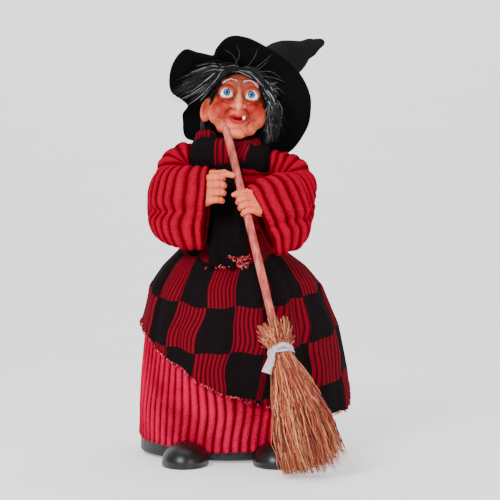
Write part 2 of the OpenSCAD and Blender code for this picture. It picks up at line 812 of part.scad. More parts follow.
module scarf_end() {
    color([0.05, 0.05, 0.055])
        translate([-20, 0, 0]) rotate([90, 0, 90]) linear_extrude(31)
            polygon([[-35.4, 238], [-35.4, 204], [-44.5, 182], [-58.5, 158], [-56, 158],
                     [-42.5, 182], [-33.4, 204], [-33.4, 238]]);
}

/* ---------- head ---------- */

module head_solid(grow) {
    translate([head_x, 0, head_z])
        scale([head_size[0] + grow, head_size[1] + grow, head_size[2] + grow])
            sphere(r = 1, $fn = 44);
}

module head_shell() {
    difference() {
        head_solid(0);
        head_solid(-head_wall);
        cylinder(r = 5.4, h = 300);
        for (e = eye_at) eye_place(e) sphere(r = eye_r + 0.2, $fn = 32);
    }
}

module eye_place(e) {
    translate([head_x, 0, head_z] + e) children();
}

module face_shell() {
    color([0.85, 0.45, 0.28]) difference() {
        union() {
            head_shell();
            // nose, and a chin that juts
            difference() {
                hull() {
                    ball([head_x, -24, head_z + 6], 3.4);
                    ball([head_x, -30.5, head_z - 7], 4.2);
                    ball([head_x, -22, head_z - 8], 4.6);
                }
                head_solid(-0.2);
            }
        }
        translate([-60, 6, head_z - 60]) cube([120, 60, 120]);
    }
}

module head_back() {
    color([0.85, 0.45, 0.28]) difference() {
        head_shell();
        translate([-60, -53.98, head_z - 60]) cube([120, 60, 120]);
    }
}

module eye_right() {
    color([0.9, 0.95, 1]) eye_place(eye_at[0]) sphere(r = eye_r, $fn = 48);
}

module eye_left() {
    color([0.9, 0.95, 1]) eye_place(eye_at[1]) sphere(r = eye_r, $fn = 48);
}

module eye_lights() {
    color([0.9, 0.2, 0.2])
        for (e = eye_at)
            eye_place(e + [0, eye_r + 0.3, 0]) rotate([-90, 0, 0]) {
                cylinder(r = 2.5, h = 5);
                translate([0, 0, 5]) cylinder(r = 2.9, h = 1);
            }
}

module wig() {
    color([0.08, 0.08, 0.085]) difference() {
        head_solid(3.4);
        head_solid(0.3);
        // cut away over the face, and under the nape
        translate([head_x, -10, head_z + 8]) rotate([50, 0, 0]) translate([-60, -100, -60])
            cube([120, 100, 120]);
        translate([-60, -60, 0]) cube([120, 120, head_z - 14]);
    }
}

// Hat: the brim stands up behind the face like a bonnet, and the crown goes back and flops left
brim_mid = [6, 13, 299];
brim_in = [35, 30, 33];              // inner half width, and half height above and below
brim_t = 1.6;
brim_steps = 96;
brim_rings = 4;
// The wired edge's distance from the middle, by angle up from the doll's left
brim_edge = [[-180, 50.9], [-172, 45], [-165.5, 50.3], [-158.7, 52.5], [-146.8, 56.2], [-135, 50],
             [-110, 45], [-90, 44], [-70, 50], [-55, 59], [-43.7, 62.4], [-30.6, 63],
             [-18.7, 63.3], [-10.5, 62.4], [2.8, 60.8], [23.1, 55.5], [42, 50.5], [62.5, 47.1],
             [81.3, 49.6], [95.3, 51.8], [103.8, 50.4], [116, 45.2], [124.2, 42], [134.5, 52.3],
             [140, 62.1], [152.7, 63], [165, 61.4], [174.5, 58.3], [180, 50.9]];
function bump(a, at, width) = exp(-pow((a - at) / width, 2));
function brim_depth(a) = -24 * sin(a) + 7 * sin(2 * a + 40) + 3 * sin(3 * a);
function brim_point(a, s, side) =
    let (low = sin(a) < 0 ? 2 : 1,
         near = 1 / norm([cos(a) / brim_in[0], sin(a) / brim_in[low]]),
         far = lookup(a > 180 ? a - 360 : a, brim_edge),
         r = near + (far - near) * s)
    [brim_mid[0] + cos(a) * r,
     brim_mid[1] + brim_depth(a) * (0.55 + 0.45 * s) - (low == 1 ? 7 : 7 + 21 * sin(a)) * s
                 + side * brim_t,
     brim_mid[2] + sin(a) * r];

module hat_brim() {
    n = brim_steps;
    m = brim_rings;
    front = [for (j = [0:m], i = [0:n - 1]) brim_point(i * 360 / n, j / m, -0.5)];
    back = [for (j = [0:m], i = [0:n - 1]) brim_point(i * 360 / n, j / m, 0.5)];
    size = (m + 1) * n;
    function quads(o, flip) =
        [for (j = [0:m - 1], i = [0:n - 1])
            let (a = o + j * n + i, b = o + j * n + (i + 1) % n, c = b + n, d = a + n)
            each flip ? [[a, c, b], [a, d, c]] : [[a, b, c], [a, c, d]]];
    inner_rim = [for (i = [0:n - 1]) let (a = i, b = (i + 1) % n)
                 each [[a, a + size, b], [b, a + size, b + size]]];
    outer_rim = [for (i = [0:n - 1]) let (a = m * n + i, b = m * n + (i + 1) % n)
                 each [[a, b, a + size], [b, b + size, a + size]]];
    color([0.03, 0.03, 0.035])
        polyhedron(points = concat(front, back),
                   faces = concat(quads(0, false), quads(size, true), inner_rim, outer_rim));
}

module crown_chain(grow, last) {
    stops = [[[6, 20, 300], 34], [[20, 44, 318], 24], [[43.5, 52, 335], 17],
             [[65, 52, 345.5], 8], [[76.5, 52, 350.6], 2.8]];
    for (i = [0:last])
        hull() {
            translate(stops[i][0]) sphere(r = stops[i][1] + grow, $fn = 32);
            translate(stops[i + 1][0]) sphere(r = stops[i + 1][1] + grow, $fn = 32);
        }
}

module hat_crown() {
    color([0.04, 0.04, 0.045]) difference() {
        crown_chain(0, 3);
        crown_chain(-1.6, 0);
        head_solid(3.8);
        // open in front, where the brim starts
        translate([0, 12.1, 297]) rotate([22.4, 0, 0]) translate([-100, -200, -200])
            cube([200, 200, 400]);
    }
}

/* ---------- broom ---------- */

// Local Z runs down the broom from the top of its stick, and local Y across the fan
module along_broom() {
    translate(broom_top) rotate([0, broom_polar, broom_azimuth]) rotate([0, 0, fan_twist]) children();
}

module broom_stick() {
    color([0.62, 0.3, 0.22]) along_broom() cylinder(r = stick_r, h = tie_at + 20, $fn = 32);
}

module broom_bristles() {
    color([0.72, 0.42, 0.22]) along_broom() difference() {
        union() {
            hull() {
                translate([0, 0, tuft_at]) cylinder(r = 10.5, h = 0.5, $fn = 32);
                translate([0, 0, tie_at]) cylinder(r = tie_r, h = 0.5, $fn = 32);
            }
            hull() {
                translate([0, 0, tie_at]) cylinder(r = tie_r, h = 0.5, $fn = 32);
                for (y = [-14, 14]) translate([0, y, broom_len - 6])
                    cylinder(r = 10.5, h = 0.5, $fn = 32);
            }
        }
        // the twigs are packed round the end of the stick
        translate([0, 0, tuft_at - 1]) cylinder(r = stick_r + 0.05, h = tie_at - tuft_at + 21.1);
    }
}

module broom_ribbon() {
    color([0.85, 0.84, 0.9]) along_broom()
        translate([0, 0, tie_at - 2.5]) ring(tie_r + 1.9, tie_r + 0.7, 5);
}

base_drum();
base_plate();
rubber_feet();
base_screws();
shoe(-1);  // shoe_right
shoe(1);  // shoe_left
batteries();
battery_contacts();
battery_door();
door_screw();
speaker_basket();
speaker_cone();
speaker_magnet();
circuit_board();
board_components();
switch_case();
switch_knob();
mast();
gear_case();
gear_case_lid();
gear_axles();
motor();
motor_pinion();
first_wheel();
second_wheel();
turn_shaft();
sector_gear();
centre_rod();
sun_gear();
planet_gear();
head_gear();
neck_tube();
waist_flange();
torso_frame();
torso_front();
torso_back();
torso_screws();
arm_wire_right();
arm_wire_left();
hand_right();
hand_left();
bodice();
sleeve_right();
sleeve_left();
skirt_form();
skirt();
shawl();
scarf_wrap();
scarf_end();
face_shell();
head_back();
eye_right();
eye_left();
eye_lights();
wig();
hat_crown();
hat_brim();
broom_stick();
broom_bristles();
broom_ribbon();
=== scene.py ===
"""Looks of the animated witch figure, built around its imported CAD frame. Units in the code are mm."""
import math

import bmesh
import bpy
import numpy as np
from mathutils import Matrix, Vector


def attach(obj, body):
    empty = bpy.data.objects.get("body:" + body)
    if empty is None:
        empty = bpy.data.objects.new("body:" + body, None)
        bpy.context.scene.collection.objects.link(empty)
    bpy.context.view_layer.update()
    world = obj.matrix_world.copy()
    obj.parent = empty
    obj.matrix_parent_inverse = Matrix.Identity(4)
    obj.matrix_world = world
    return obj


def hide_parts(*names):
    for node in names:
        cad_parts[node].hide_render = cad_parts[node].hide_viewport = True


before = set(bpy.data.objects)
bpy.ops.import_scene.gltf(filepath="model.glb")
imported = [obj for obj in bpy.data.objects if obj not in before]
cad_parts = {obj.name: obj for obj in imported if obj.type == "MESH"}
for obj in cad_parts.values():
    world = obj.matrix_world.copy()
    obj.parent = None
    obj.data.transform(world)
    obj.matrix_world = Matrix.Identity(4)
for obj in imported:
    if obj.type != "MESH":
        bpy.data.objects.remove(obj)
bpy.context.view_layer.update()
MM = 0.001
rng = np.random.default_rng(11)
TAU = 2 * math.pi


# ---------------------------------------------------------------- helpers

def smoothstep(a, b, x):
    t = np.clip((np.asarray(x, float) - a) / (b - a), 0, 1)
    return t * t * (3 - 2 * t)


def interp(x, pairs):
    """Piecewise-linear curve through (x, y) pairs."""
    return np.interp(x, [p[0] for p in pairs], [p[1] for p in pairs])


def bell(x, at, width):
    """A smooth bump that is 1 in its middle."""
    return np.exp(-((x - at) / width) ** 2)


def bells(*terms):
    """A bump in several directions; each term is a coordinate, its middle and its width."""
    return np.exp(-sum(((v - at) / width) ** 2 for v, at, width in terms))


def unit(v):
    """Vectors scaled to length one."""
    return v / (np.linalg.norm(v, axis=-1, keepdims=True) if v.ndim > 1 else np.linalg.norm(v))


def spline(points, n):
    """n points on a Catmull-Rom curve through rows of any width."""
    p = np.asarray(points, float)
    p = np.vstack([2 * p[0] - p[1], p, 2 * p[-1] - p[-2]])
    t = np.linspace(0, len(p) - 3 - 1e-9, n)
    i = t.astype(int)
    f = (t - i)[:, None]
    a, b, c, d = p[i], p[i + 1], p[i + 2], p[i + 3]
    return 0.5 * (2 * b + (c - a) * f + (2 * a - 5 * b + 4 * c - d) * f ** 2
                  + (3 * b - a - 3 * c + d) * f ** 3)


def grid_faces(rows, cols, wrap=False, start=0):
    """Quads over a grid of points, row by row; wrap joins the last column to the first."""
    j, i = np.meshgrid(np.arange(rows - 1), np.arange(cols if wrap else cols - 1), indexing="ij")
    k = (i + 1) % cols
    return (start + np.stack([j * cols + i, j * cols + k, (j + 1) * cols + k, (j + 1) * cols + i],
                             -1)).reshape(-1, 4)


def mesh(name, verts, faces, mat, body, attrs=None, replaces=()):
    """A mesh object from points in mm; it rides on a body."""
    verts = np.asarray(verts, float).reshape(-1, 3) * MM
    me = bpy.data.meshes.new(name)
    me.from_pydata(verts.tolist(), [], faces if isinstance(faces, list) else faces.tolist())
    me.validate()
    me.polygons.foreach_set("use_smooth", [True] * len(me.polygons))
    for key, values in (attrs or {}).items():
        a = me.attributes.new(key, "FLOAT", "POINT")
        a.data.foreach_set("value", np.asarray(values, np.float32).ravel())
    me.materials.append(mat)
    o = bpy.data.objects.new(name, me)
    bpy.context.scene.collection.objects.link(o)
    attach(o, body)
    if replaces:
        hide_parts(*replaces)
    return o


def face_out(o):
    """Turns every normal of an object outwards."""
    b = bmesh.new()
    b.from_mesh(o.data)
    bmesh.ops.recalc_face_normals(b, faces=b.faces)
    b.to_mesh(o.data)
    b.free()


def frames(path):
    """Tangents and two normals along a path, without twist."""
    t = unit(np.gradient(path, axis=0))
    n = np.zeros_like(path)
    ref = np.array([0.0, 0.0, 1.0]) if abs(t[0][2]) < 0.9 else np.array([1.0, 0.0, 0.0])
    for i in range(len(path)):
        ref = unit(ref - t[i] * ref.dot(t[i]))
        n[i] = ref
    return t, n, np.cross(t, n)


def tube(path, radius, sides):
    """Points and faces of a round tube along a path; radius is a number or one per point."""
    path = np.asarray(path, float)
    r = np.broadcast_to(np.asarray(radius, float), (len(path),))
    t, n, b = frames(path)
    a = np.arange(sides) * TAU / sides
    v = (path[:, None] + r[:, None, None] * (np.cos(a)[None, :, None] * n[:, None]
                                             + np.sin(a)[None, :, None] * b[:, None])).reshape(-1, 3)
    f = [q[::-1] for q in grid_faces(len(path), sides, True).tolist()]
    f.append(list(range(sides)))
    f.append(list(range((len(path) - 1) * sides, len(path) * sides))[::-1])
    return v, f


def join(parts):
    """One point list and face list from several; extra per-point values follow along."""
    verts, faces, values, n = [], [], [], 0
    for part in parts:
        v, f = part[0], part[1]
        verts.append(v)
        faces += [[i + n for i in q] for q in f]
        values.append(np.broadcast_to(part[2] if len(part) > 2 else 0.0, (len(v),)))
        n += len(v)
    return np.vstack(verts), faces, np.concatenate(values)


# signed distances, and a mesh of their zero level

def smin(a, b, k):
    """The nearer of two shapes, blended over k mm; smax is the same for what both shapes share."""
    h = np.clip(0.5 + 0.5 * (b - a) / k, 0, 1)
    return b + (a - b) * h - k * h * (1 - h)


def smax(a, b, k):
    return -smin(-a, -b, k)


def ball(p, c, r):
    return np.sqrt((p[0] - c[0]) ** 2 + (p[1] - c[1]) ** 2 + (p[2] - c[2]) ** 2) - r


def egg(p, c, r, roll=0.0):
    """An ellipsoid with radii r, turned by roll degrees in the front plane."""
    x, y, z = p[0] - c[0], p[1] - c[1], p[2] - c[2]
    if roll:
        ca, sa = math.cos(math.radians(roll)), math.sin(math.radians(roll))
        x, z = ca * x + sa * z, -sa * x + ca * z
    k0 = np.sqrt((x / r[0]) ** 2 + (y / r[1]) ** 2 + (z / r[2]) ** 2) + 1e-9
    k1 = np.sqrt((x / r[0] ** 2) ** 2 + (y / r[1] ** 2) ** 2 + (z / r[2] ** 2) ** 2) + 1e-9
    return k0 * (k0 - 1) / k1


def capsule(p, a, b, ra, rb=None):
    """A rod from a to b with round ends and a radius at each end."""
    rb = ra if rb is None else rb
    a, b = np.asarray(a, float), np.asarray(b, float)
    d = b - a
    q = [p[i] - a[i] for i in range(3)]
    h = np.clip((q[0] * d[0] + q[1] * d[1] + q[2] * d[2]) / max(d.dot(d), 1e-9), 0, 1)
    return np.sqrt(sum((q[i] - h * d[i]) ** 2 for i in range(3))) - (ra + (rb - ra) * h)


def limb(p, pts, radii, k):
    """A chain of rods through pts, blended over k mm at the joints."""
    d = capsule(p, pts[0], pts[1], radii[0], radii[1])
    for i in range(1, len(pts) - 1):
        d = smin(d, capsule(p, pts[i], pts[i + 1], radii[i], radii[i + 1]), k)
    return d


def surface(sdf, lo, hi, h):
    """Points and quads of the zero level of sdf in the box lo..hi (surface nets)."""
    ax = [np.arange(lo[i], hi[i] + h, h) for i in range(3)]
    p = np.meshgrid(*ax, indexing="ij")
    f = sdf(p)
    n = f.shape
    ins = f < 0
    cor = [(i, j, k) for i in (0, 1) for j in (0, 1) for k in (0, 1)]
    count = sum(ins[c[0]:n[0] - 1 + c[0], c[1]:n[1] - 1 + c[1], c[2]:n[2] - 1 + c[2]].astype(int)
                for c in cor)
    cells = np.argwhere((count > 0) & (count < 8))
    index = -np.ones((n[0] - 1, n[1] - 1, n[2] - 1), int)
    index[tuple(cells.T)] = np.arange(len(cells))
    val = np.stack([f[cells[:, 0] + c[0], cells[:, 1] + c[1], cells[:, 2] + c[2]] for c in cor], 1)
    total, hits = np.zeros((len(cells), 3)), np.zeros(len(cells))
    for a in range(8):
        for b in range(a + 1, 8):
            if sum(abs(cor[a][i] - cor[b][i]) for i in range(3)) != 1:
                continue
            fa, fb = val[:, a], val[:, b]
            cut = (fa < 0) != (fb < 0)
            t = np.where(cut, fa / np.where(cut, fa - fb, 1), 0)[:, None]
            q = np.array(cor[a]) + t * (np.array(cor[b]) - np.array(cor[a]))
            total += np.where(cut[:, None], q, 0)
            hits += cut
    verts = (cells + total / hits[:, None]) * h + np.array([ax[i][0] for i in range(3)])
    faces = []
    for d in range(3):
        u, w = (d + 1) % 3, (d + 2) % 3
        lo_s, hi_s = [slice(None)] * 3, [slice(None)] * 3
        lo_s[d], hi_s[d] = slice(0, n[d] - 1), slice(1, n[d])
        change = ins[tuple(lo_s)] != ins[tuple(hi_s)]
        e = np.argwhere(change)
        e = e[(e[:, u] > 0) & (e[:, w] > 0) & (e[:, u] < n[u] - 1) & (e[:, w] < n[w] - 1)]
        quad = []
        for du, dw in ((1, 1), (0, 1), (0, 0), (1, 0)):
            c = e.copy()
            c[:, u] -= du
            c[:, w] -= dw
            quad.append(index[tuple(c.T)])
        q = np.stack(quad, 1)
        flip = ~ins[tuple(e.T)]
        q[flip] = q[flip][:, ::-1]
        faces.append(q[(q >= 0).all(1)])
    return verts, np.vstack(faces)


# ---------------------------------------------------------------- materials

def srgb(r, g, b):
    return tuple(c / 255 / 12.92 if c <= 10 else ((c / 255 + 0.055) / 1.055) ** 2.4
                 for c in (r, g, b)) + (1.0,)


class Look:
    """A Principled material with short ways to add procedural nodes."""

    def __init__(self, name, color, rough=0.6, **sockets):
        self.mat = bpy.data.materials.new(name)
        self.mat.use_nodes = True
        self.tree = self.mat.node_tree
        self.bsdf = self.tree.nodes["Principled BSDF"]
        self.set("Base Color", color)
        self.set("Roughness", rough)
        for key, value in sockets.items():
            self.set(key.replace("_", " "), value)

    def node(self, kind, **props):
        n = self.tree.nodes.new(kind)
        for key, value in props.items():
            setattr(n, key, value)
        return n

    def link(self, value, socket):
        if isinstance(value, bpy.types.NodeSocket):
            self.tree.links.new(value, socket)
        else:
            socket.default_value = value

    def set(self, socket, value):
        self.link(value, self.bsdf.inputs[socket])

    def attr(self, name):
        return self.node("ShaderNodeAttribute", attribute_name=name).outputs["Fac"]

    def coords(self):
        return self.node("ShaderNodeTexCoord").outputs["Object"]

    def scaled(self, x, y, z):
        n = self.node("ShaderNodeMapping")
        self.link(self.coords(), n.inputs["Vector"])
        n.inputs["Scale"].default_value = (x, y, z)
        return n.outputs["Vector"]

    def noise(self, scale, detail=3.0, rough=0.5, vector=None):
        n = self.node("ShaderNodeTexNoise")
        self.link(vector if vector is not None else self.coords(), n.inputs["Vector"])
        n.inputs["Scale"].default_value = scale
        n.inputs["Detail"].default_value = detail
        n.inputs["Roughness"].default_value = rough
        return n.outputs["Fac"]

    def voronoi(self, scale):
        n = self.node("ShaderNodeTexVoronoi")
        self.link(self.coords(), n.inputs["Vector"])
        n.inputs["Scale"].default_value = scale
        return n.outputs["Distance"]

    def math(self, op, a, b=0.0):
        n = self.node("ShaderNodeMath", operation=op)
        self.link(a, n.inputs[0])
        self.link(b, n.inputs[1])
        return n.outputs[0]

    def add(self, a, b):
        return self.math("ADD", a, b)

    def mul(self, a, b):
        return self.math("MULTIPLY", a, b)

    def swing(self, a, by):
        """How far a is from one half, times by."""
        return self.mul(self.math("SUBTRACT", a, 0.5), by)

    def zigzag(self, a):
        """How far the fraction of a is from one half."""
        return self.math("ABSOLUTE", self.math("SUBTRACT", self.math("FRACT", a), 0.5))

    def ramp(self, fac, stops, mode="LINEAR"):
        n = self.node("ShaderNodeValToRGB")
        n.color_ramp.interpolation = mode
        while len(n.color_ramp.elements) < len(stops):
            n.color_ramp.elements.new(0.5)
        for e, (pos, color) in zip(n.color_ramp.elements, stops):
            e.position = pos
            e.color = color
        self.link(fac, n.inputs["Fac"])
        return n.outputs["Color"]

    def level(self, fac, lo, hi, a=0.0, b=1.0):
        n = self.node("ShaderNodeMapRange", clamp=True)
        for i, value in enumerate((fac, lo, hi, a, b)):
            self.link(value, n.inputs[i])
        return n.outputs[0]

    def mix(self, fac, a, b):
        n = self.node("ShaderNodeMix", data_type="RGBA")
        self.link(fac, n.inputs[0])
        self.link(a, n.inputs[6])
        self.link(b, n.inputs[7])
        return n.outputs[2]

    def bump(self, height, distance_mm, strength=1.0):
        n = self.node("ShaderNodeBump")
        self.link(height, n.inputs["Height"])
        n.inputs["Distance"].default_value = distance_mm * MM
        n.inputs["Strength"].default_value = strength
        self.link(n.outputs["Normal"], self.bsdf.inputs["Normal"])
        return self


def plastic(name, color, rough, spots=0.25, bump=0.03):
    k = Look(name, color, rough)
    n = k.noise(420, 4)
    dark = tuple(c * (1 - spots) for c in color[:3]) + (1.0,)
    k.set("Base Color", k.mix(k.level(k.noise(60, 3), 0.35, 0.7), color, dark))
    k.set("Roughness", k.level(n, 0.3, 0.7, rough * 0.85, min(1, rough * 1.2)))
    return k.bump(n, bump, 0.5).mat


def metal(name, color, rough=0.32):
    k = Look(name, color, rough, Metallic=1.0)
    n = k.noise(300, 3, vector=k.scaled(1, 1, 14))
    k.set("Roughness", k.level(n, 0.3, 0.7, rough * 0.7, rough * 1.5))
    return k.bump(n, 0.02, 0.4).mat


def cord(name, ridge, mid, valley):
    """Chenille corduroy: rib is 0 in the valleys and 1 on the ridges; the colour darkens from ridge to
    valley as painted shade in the grooves.
    """
    k = Look(name, ridge, 1.0, Specular_IOR_Level=0.02)
    fuzz = k.noise(1500, 2, 0.7)
    patch = k.noise(90, 3)
    rib = k.add(k.add(k.attr("rib"), k.swing(fuzz, 0.8)), k.swing(patch, 0.45))
    k.set("Base Color", k.ramp(rib, [(0.12, valley), (0.55, mid), (1.0, ridge)]))
    return k.bump(k.add(k.mul(fuzz, 0.6), k.voronoi(900)), 0.9, 0.9).mat


STITCH, ROW, STRIPE = 1.85, 1.3, 3.7  # mm across a stitch, a row and a stripe of the knit


def knit(name, red, dark, black, plain=False):
    """Machine knit. u and v count squares and rows; su and sv are mm along them."""
    k = Look(name, black, 1.0, Specular_IOR_Level=0.05)
    su, sv = k.attr("su"), k.attr("sv")
    stitch = k.zigzag(k.math("DIVIDE", su, STITCH))
    row = k.zigzag(k.add(k.math("DIVIDE", sv, ROW), k.mul(stitch, 1.2)))
    loops = k.mul(k.math("SUBTRACT", 1.0, k.mul(stitch, 1.4)), k.add(row, 0.4))
    fuzz = k.noise(1600, 2, 0.7)
    speck = k.level(k.noise(1100, 1, 0.5), 0.62, 0.72)
    black_c = k.mix(k.level(fuzz, 0.3, 0.7), black, tuple(c * 1.4 for c in black[:3]) + (1.0,))
    black_c = k.mix(k.mul(speck, 0.10), black_c, srgb(110, 50, 56))
    if plain:
        color = black_c
    else:
        square = k.add(k.math("FLOOR", k.attr("u")), k.math("FLOOR", k.attr("v")))
        striped = k.math("GREATER_THAN", k.math("ABSOLUTE", k.math("FRACT", k.mul(square, 0.5))), 0.25)
        edge = k.add(k.zigzag(k.math("DIVIDE", su, STRIPE)), k.swing(fuzz, 0.16))
        stripe = k.mix(k.level(edge, 0.15, 0.24), dark, red)
        stripe = k.mix(k.mul(k.level(fuzz, 0.35, 0.65), 0.45), stripe,
                       tuple(c * 0.55 for c in red[:3]) + (1.0,))
        color = k.mix(striped, black_c, stripe)
    k.set("Base Color", color)
    return k.bump(k.add(loops, k.mul(fuzz, 0.5)), 0.55, 0.7).mat


def velvet(name, color, hi):
    k = Look(name, color, 1.0, Specular_IOR_Level=0.06)
    n = k.noise(700, 3)
    nap = k.noise(26, 2)
    k.set("Base Color", k.mix(k.level(nap, 0.35, 0.75), color, hi))
    return k.bump(n, 0.15, 0.5).mat


RED = srgb(226, 34, 56)
M = {
    "black": plastic("drum_black", srgb(14, 12, 14), 0.52),
    "shoe": plastic("shoe_satin", srgb(11, 9, 10), 0.38, 0.15, 0.02),
    "rubber": plastic("foot_rubber", srgb(46, 46, 46), 0.85),
    "steel": metal("zinc_steel", srgb(196, 196, 200)),
    "brass": metal("brass_gear", srgb(214, 178, 96), 0.28),
    "grey": plastic("grey_paint", srgb(140, 140, 145), 0.4),
    "green": plastic("board_green", srgb(30, 96, 52), 0.35),
    "cell": plastic("cell_sleeve", srgb(48, 92, 70), 0.3),
    "paper": plastic("cone_paper", srgb(40, 40, 40), 0.9),
    "natural": plastic("natural_plastic", srgb(216, 214, 204), 0.5, 0.08),
    "acetal": plastic("acetal_gear", srgb(236, 236, 228), 0.38, 0.06),
    "dark": plastic("dark_plastic", srgb(66, 66, 70), 0.5),
    # ridge, mid and valley colours of the corduroy: the darker mid and valley colours are painted shade
    "cord": cord("sleeve_cord", (0.40, 0.0, 0.022, 1), (0.22, 0.0, 0.009, 1), (0.04, 0.0, 0.002, 1)),
    "skirt": cord("skirt_cord", (0.70, 0.0, 0.066, 1), (0.38, 0.0, 0.021, 1), (0.10, 0.0, 0.004, 1)),
    "knit": knit("chequer_knit", (0.20, 0.004, 0.013, 1), (0.026, 0.001, 0.003, 1),
                 (0.005, 0.0035, 0.004, 1)),
    "black_knit": knit("black_knit", RED, RED, (0.0035, 0.0026, 0.003, 1), plain=True),
    "velvet": velvet("brim_velvet", (0.0025, 0.0025, 0.0027, 1), (0.004, 0.004, 0.0042, 1)),
    "felt": velvet("cone_velvet", (0.0075, 0.0075, 0.008, 1), (0.012, 0.012, 0.013, 1)),
}

for names, key in (
    ("base_drum base_plate battery_door switch_knob neck_tube torso_front torso_back skirt_form", "black"),
    ("rubber_feet", "rubber"),
    ("base_screws door_screw torso_screws battery_contacts gear_axles centre_rod turn_shaft "
     "arm_wire_right arm_wire_left", "steel"),
    ("batteries", "cell"), ("speaker_basket speaker_magnet motor switch_case", "grey"),
    ("speaker_cone", "paper"), ("circuit_board", "green"), ("board_components eye_lights", "dark"),
    ("mast gear_case gear_case_lid torso_frame", "natural"),
    ("first_wheel second_wheel sector_gear sun_gear planet_gear head_gear", "acetal"),
    ("motor_pinion", "brass"), ("waist_flange", "dark"),
):
    for n in names.split():
        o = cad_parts[n]
        o.data.materials.clear()
        o.data.materials.append(M[key])


# ---------------------------------------------------------------- skirt and shawl

# The skirt's outline: height, radius
SKIRT = [(8, 80.5), (40, 80), (78, 77.5), (106, 75), (140, 64), (157, 52), (168, 41), (176, 34), (184, 33)]


def skirt_r(z):
    return interp(z, SKIRT)


def build_skirt():
    ribs, per = 68, 12
    th = np.arange(ribs * per) / (ribs * per) * TAU
    side = np.abs((np.degrees(th) + 180) % 360 - 180)
    rib0 = np.abs(np.sin(np.pi * (th / TAU * ribs))) ** 0.62
    hem = 8.6 + 6.2 * smoothstep(12, 85, side) + 0.6 * np.sin(7 * th) + 1.3 * (1 - rib0)
    # it rides up over the toes of the shoes
    for x0 in (-36, 36):
        q = (82 * np.sin(th) - x0) / 20.5
        arch = 15.2 * np.sqrt(np.clip(1 - q * q, 0, 1)) * (np.cos(th) > 0)
        hem = np.maximum(hem, arch + 0.8 * (arch > 0))
    rows = [(dr, hem + dz) for dr, dz in ((-3.0, 7.0), (-2.4, 2.5), (-1.1, 0.2), (0, 0))]
    for t in np.linspace(0, 1, 74)[1:]:
        rows.append((0.0, hem + (176 - hem) * t))
    verts, rib_attr = [], []
    lean = 1 - 0.018 * smoothstep(0.1, 0.9, -np.sin(th))
    for dr, z in rows:
        sway = 0.035 * np.sin(z / 34 + 2.2 * th) + 0.02 * np.sin(z / 21 - 3 * th)
        rib = rib0 * (0.85 + 0.15 * np.sin(z / 13 + 7 * th))
        wave = 1.5 * np.sin(5 * th + 1.0 + z / 60) + 1.0 * np.sin(9 * th + 2.0 - z / 45)
        grow = smoothstep(150, 60, z) * smoothstep(20, 60, z)
        r = skirt_r(z) * lean - 2.2 + 2.4 * rib + (wave - 1.6) * grow * 0.6 + dr
        if np.max(z) < 30:
            r = np.maximum(r, 77.4 + 0.9 * rib)
        else:
            r = np.maximum(r, skirt_r(z) - 2.8 + 0.8 * rib)
        a = th + sway * smoothstep(176, 120, z) * smoothstep(10, 45, z)
        verts.append(np.stack([r * np.sin(a), -r * np.cos(a), np.broadcast_to(z, r.shape)], -1))
        rib_attr.append(rib)
    f = grid_faces(len(rows), len(th), True)
    o = mesh("skirt_cloth", np.vstack(verts), f, M["skirt"], "base",
             attrs={"rib": np.concatenate(rib_attr)},
             replaces=["skirt"])


# The shawl's edge, read from the photograph: degrees from the front towards +X, height
HEM = [(-180, 115), (-110, 113), (-85, 110), (-70, 106), (-55, 97.5), (-42, 86), (-26, 72.5), (-10, 60),
       (5, 51.5), (17, 46.5), (40, 41), (56, 37), (70, 38), (82, 42), (92, 56), (115, 78), (150, 104),
       (180, 115)]


SQUARE_W, SQUARE_H = 28.0, 36.0  # mm across and down a square of the knit


def shawl_point(deg, z):
    """Outer radius of the shawl at an angle from the front (positive to +X)."""
    flare = bell(deg, 84, 36) * (6.5 + 10 * smoothstep(150, 45, z)) * smoothstep(184, 150, z)
    full = 3.6 * smoothstep(182, 170, z) * smoothstep(112, 150, z) * np.exp(-(((deg + 95) / 75) ** 4))
    base = skirt_r(z) + 1.9
    folds = 2.1 * np.sin(np.radians(deg) * 7 + 0.5) + 1.5 * np.sin(np.radians(deg) * 12 + 2.1 + z / 50)
    folds = np.abs(folds) * smoothstep(184, 130, z)
    line = 23.5 + (z - 100) * -0.02
    valley = bell(deg, line, 3.4) * smoothstep(182, 150, z) * smoothstep(30, 70, z)
    puff = (5.5 * bell(deg - line, -8, 6.5) + 4.5 * bell(deg - line, 9, 8))
    puff = puff * smoothstep(176, 140, z) * smoothstep(35, 70, z)
    slant = 1.5 * bell(deg + 18, (z - 90) * 0.22, 5.5) * smoothstep(60, 90, z) * smoothstep(150, 120, z)
    return base + (folds + flare + puff + full + slant) * (1 - 0.92 * valley)


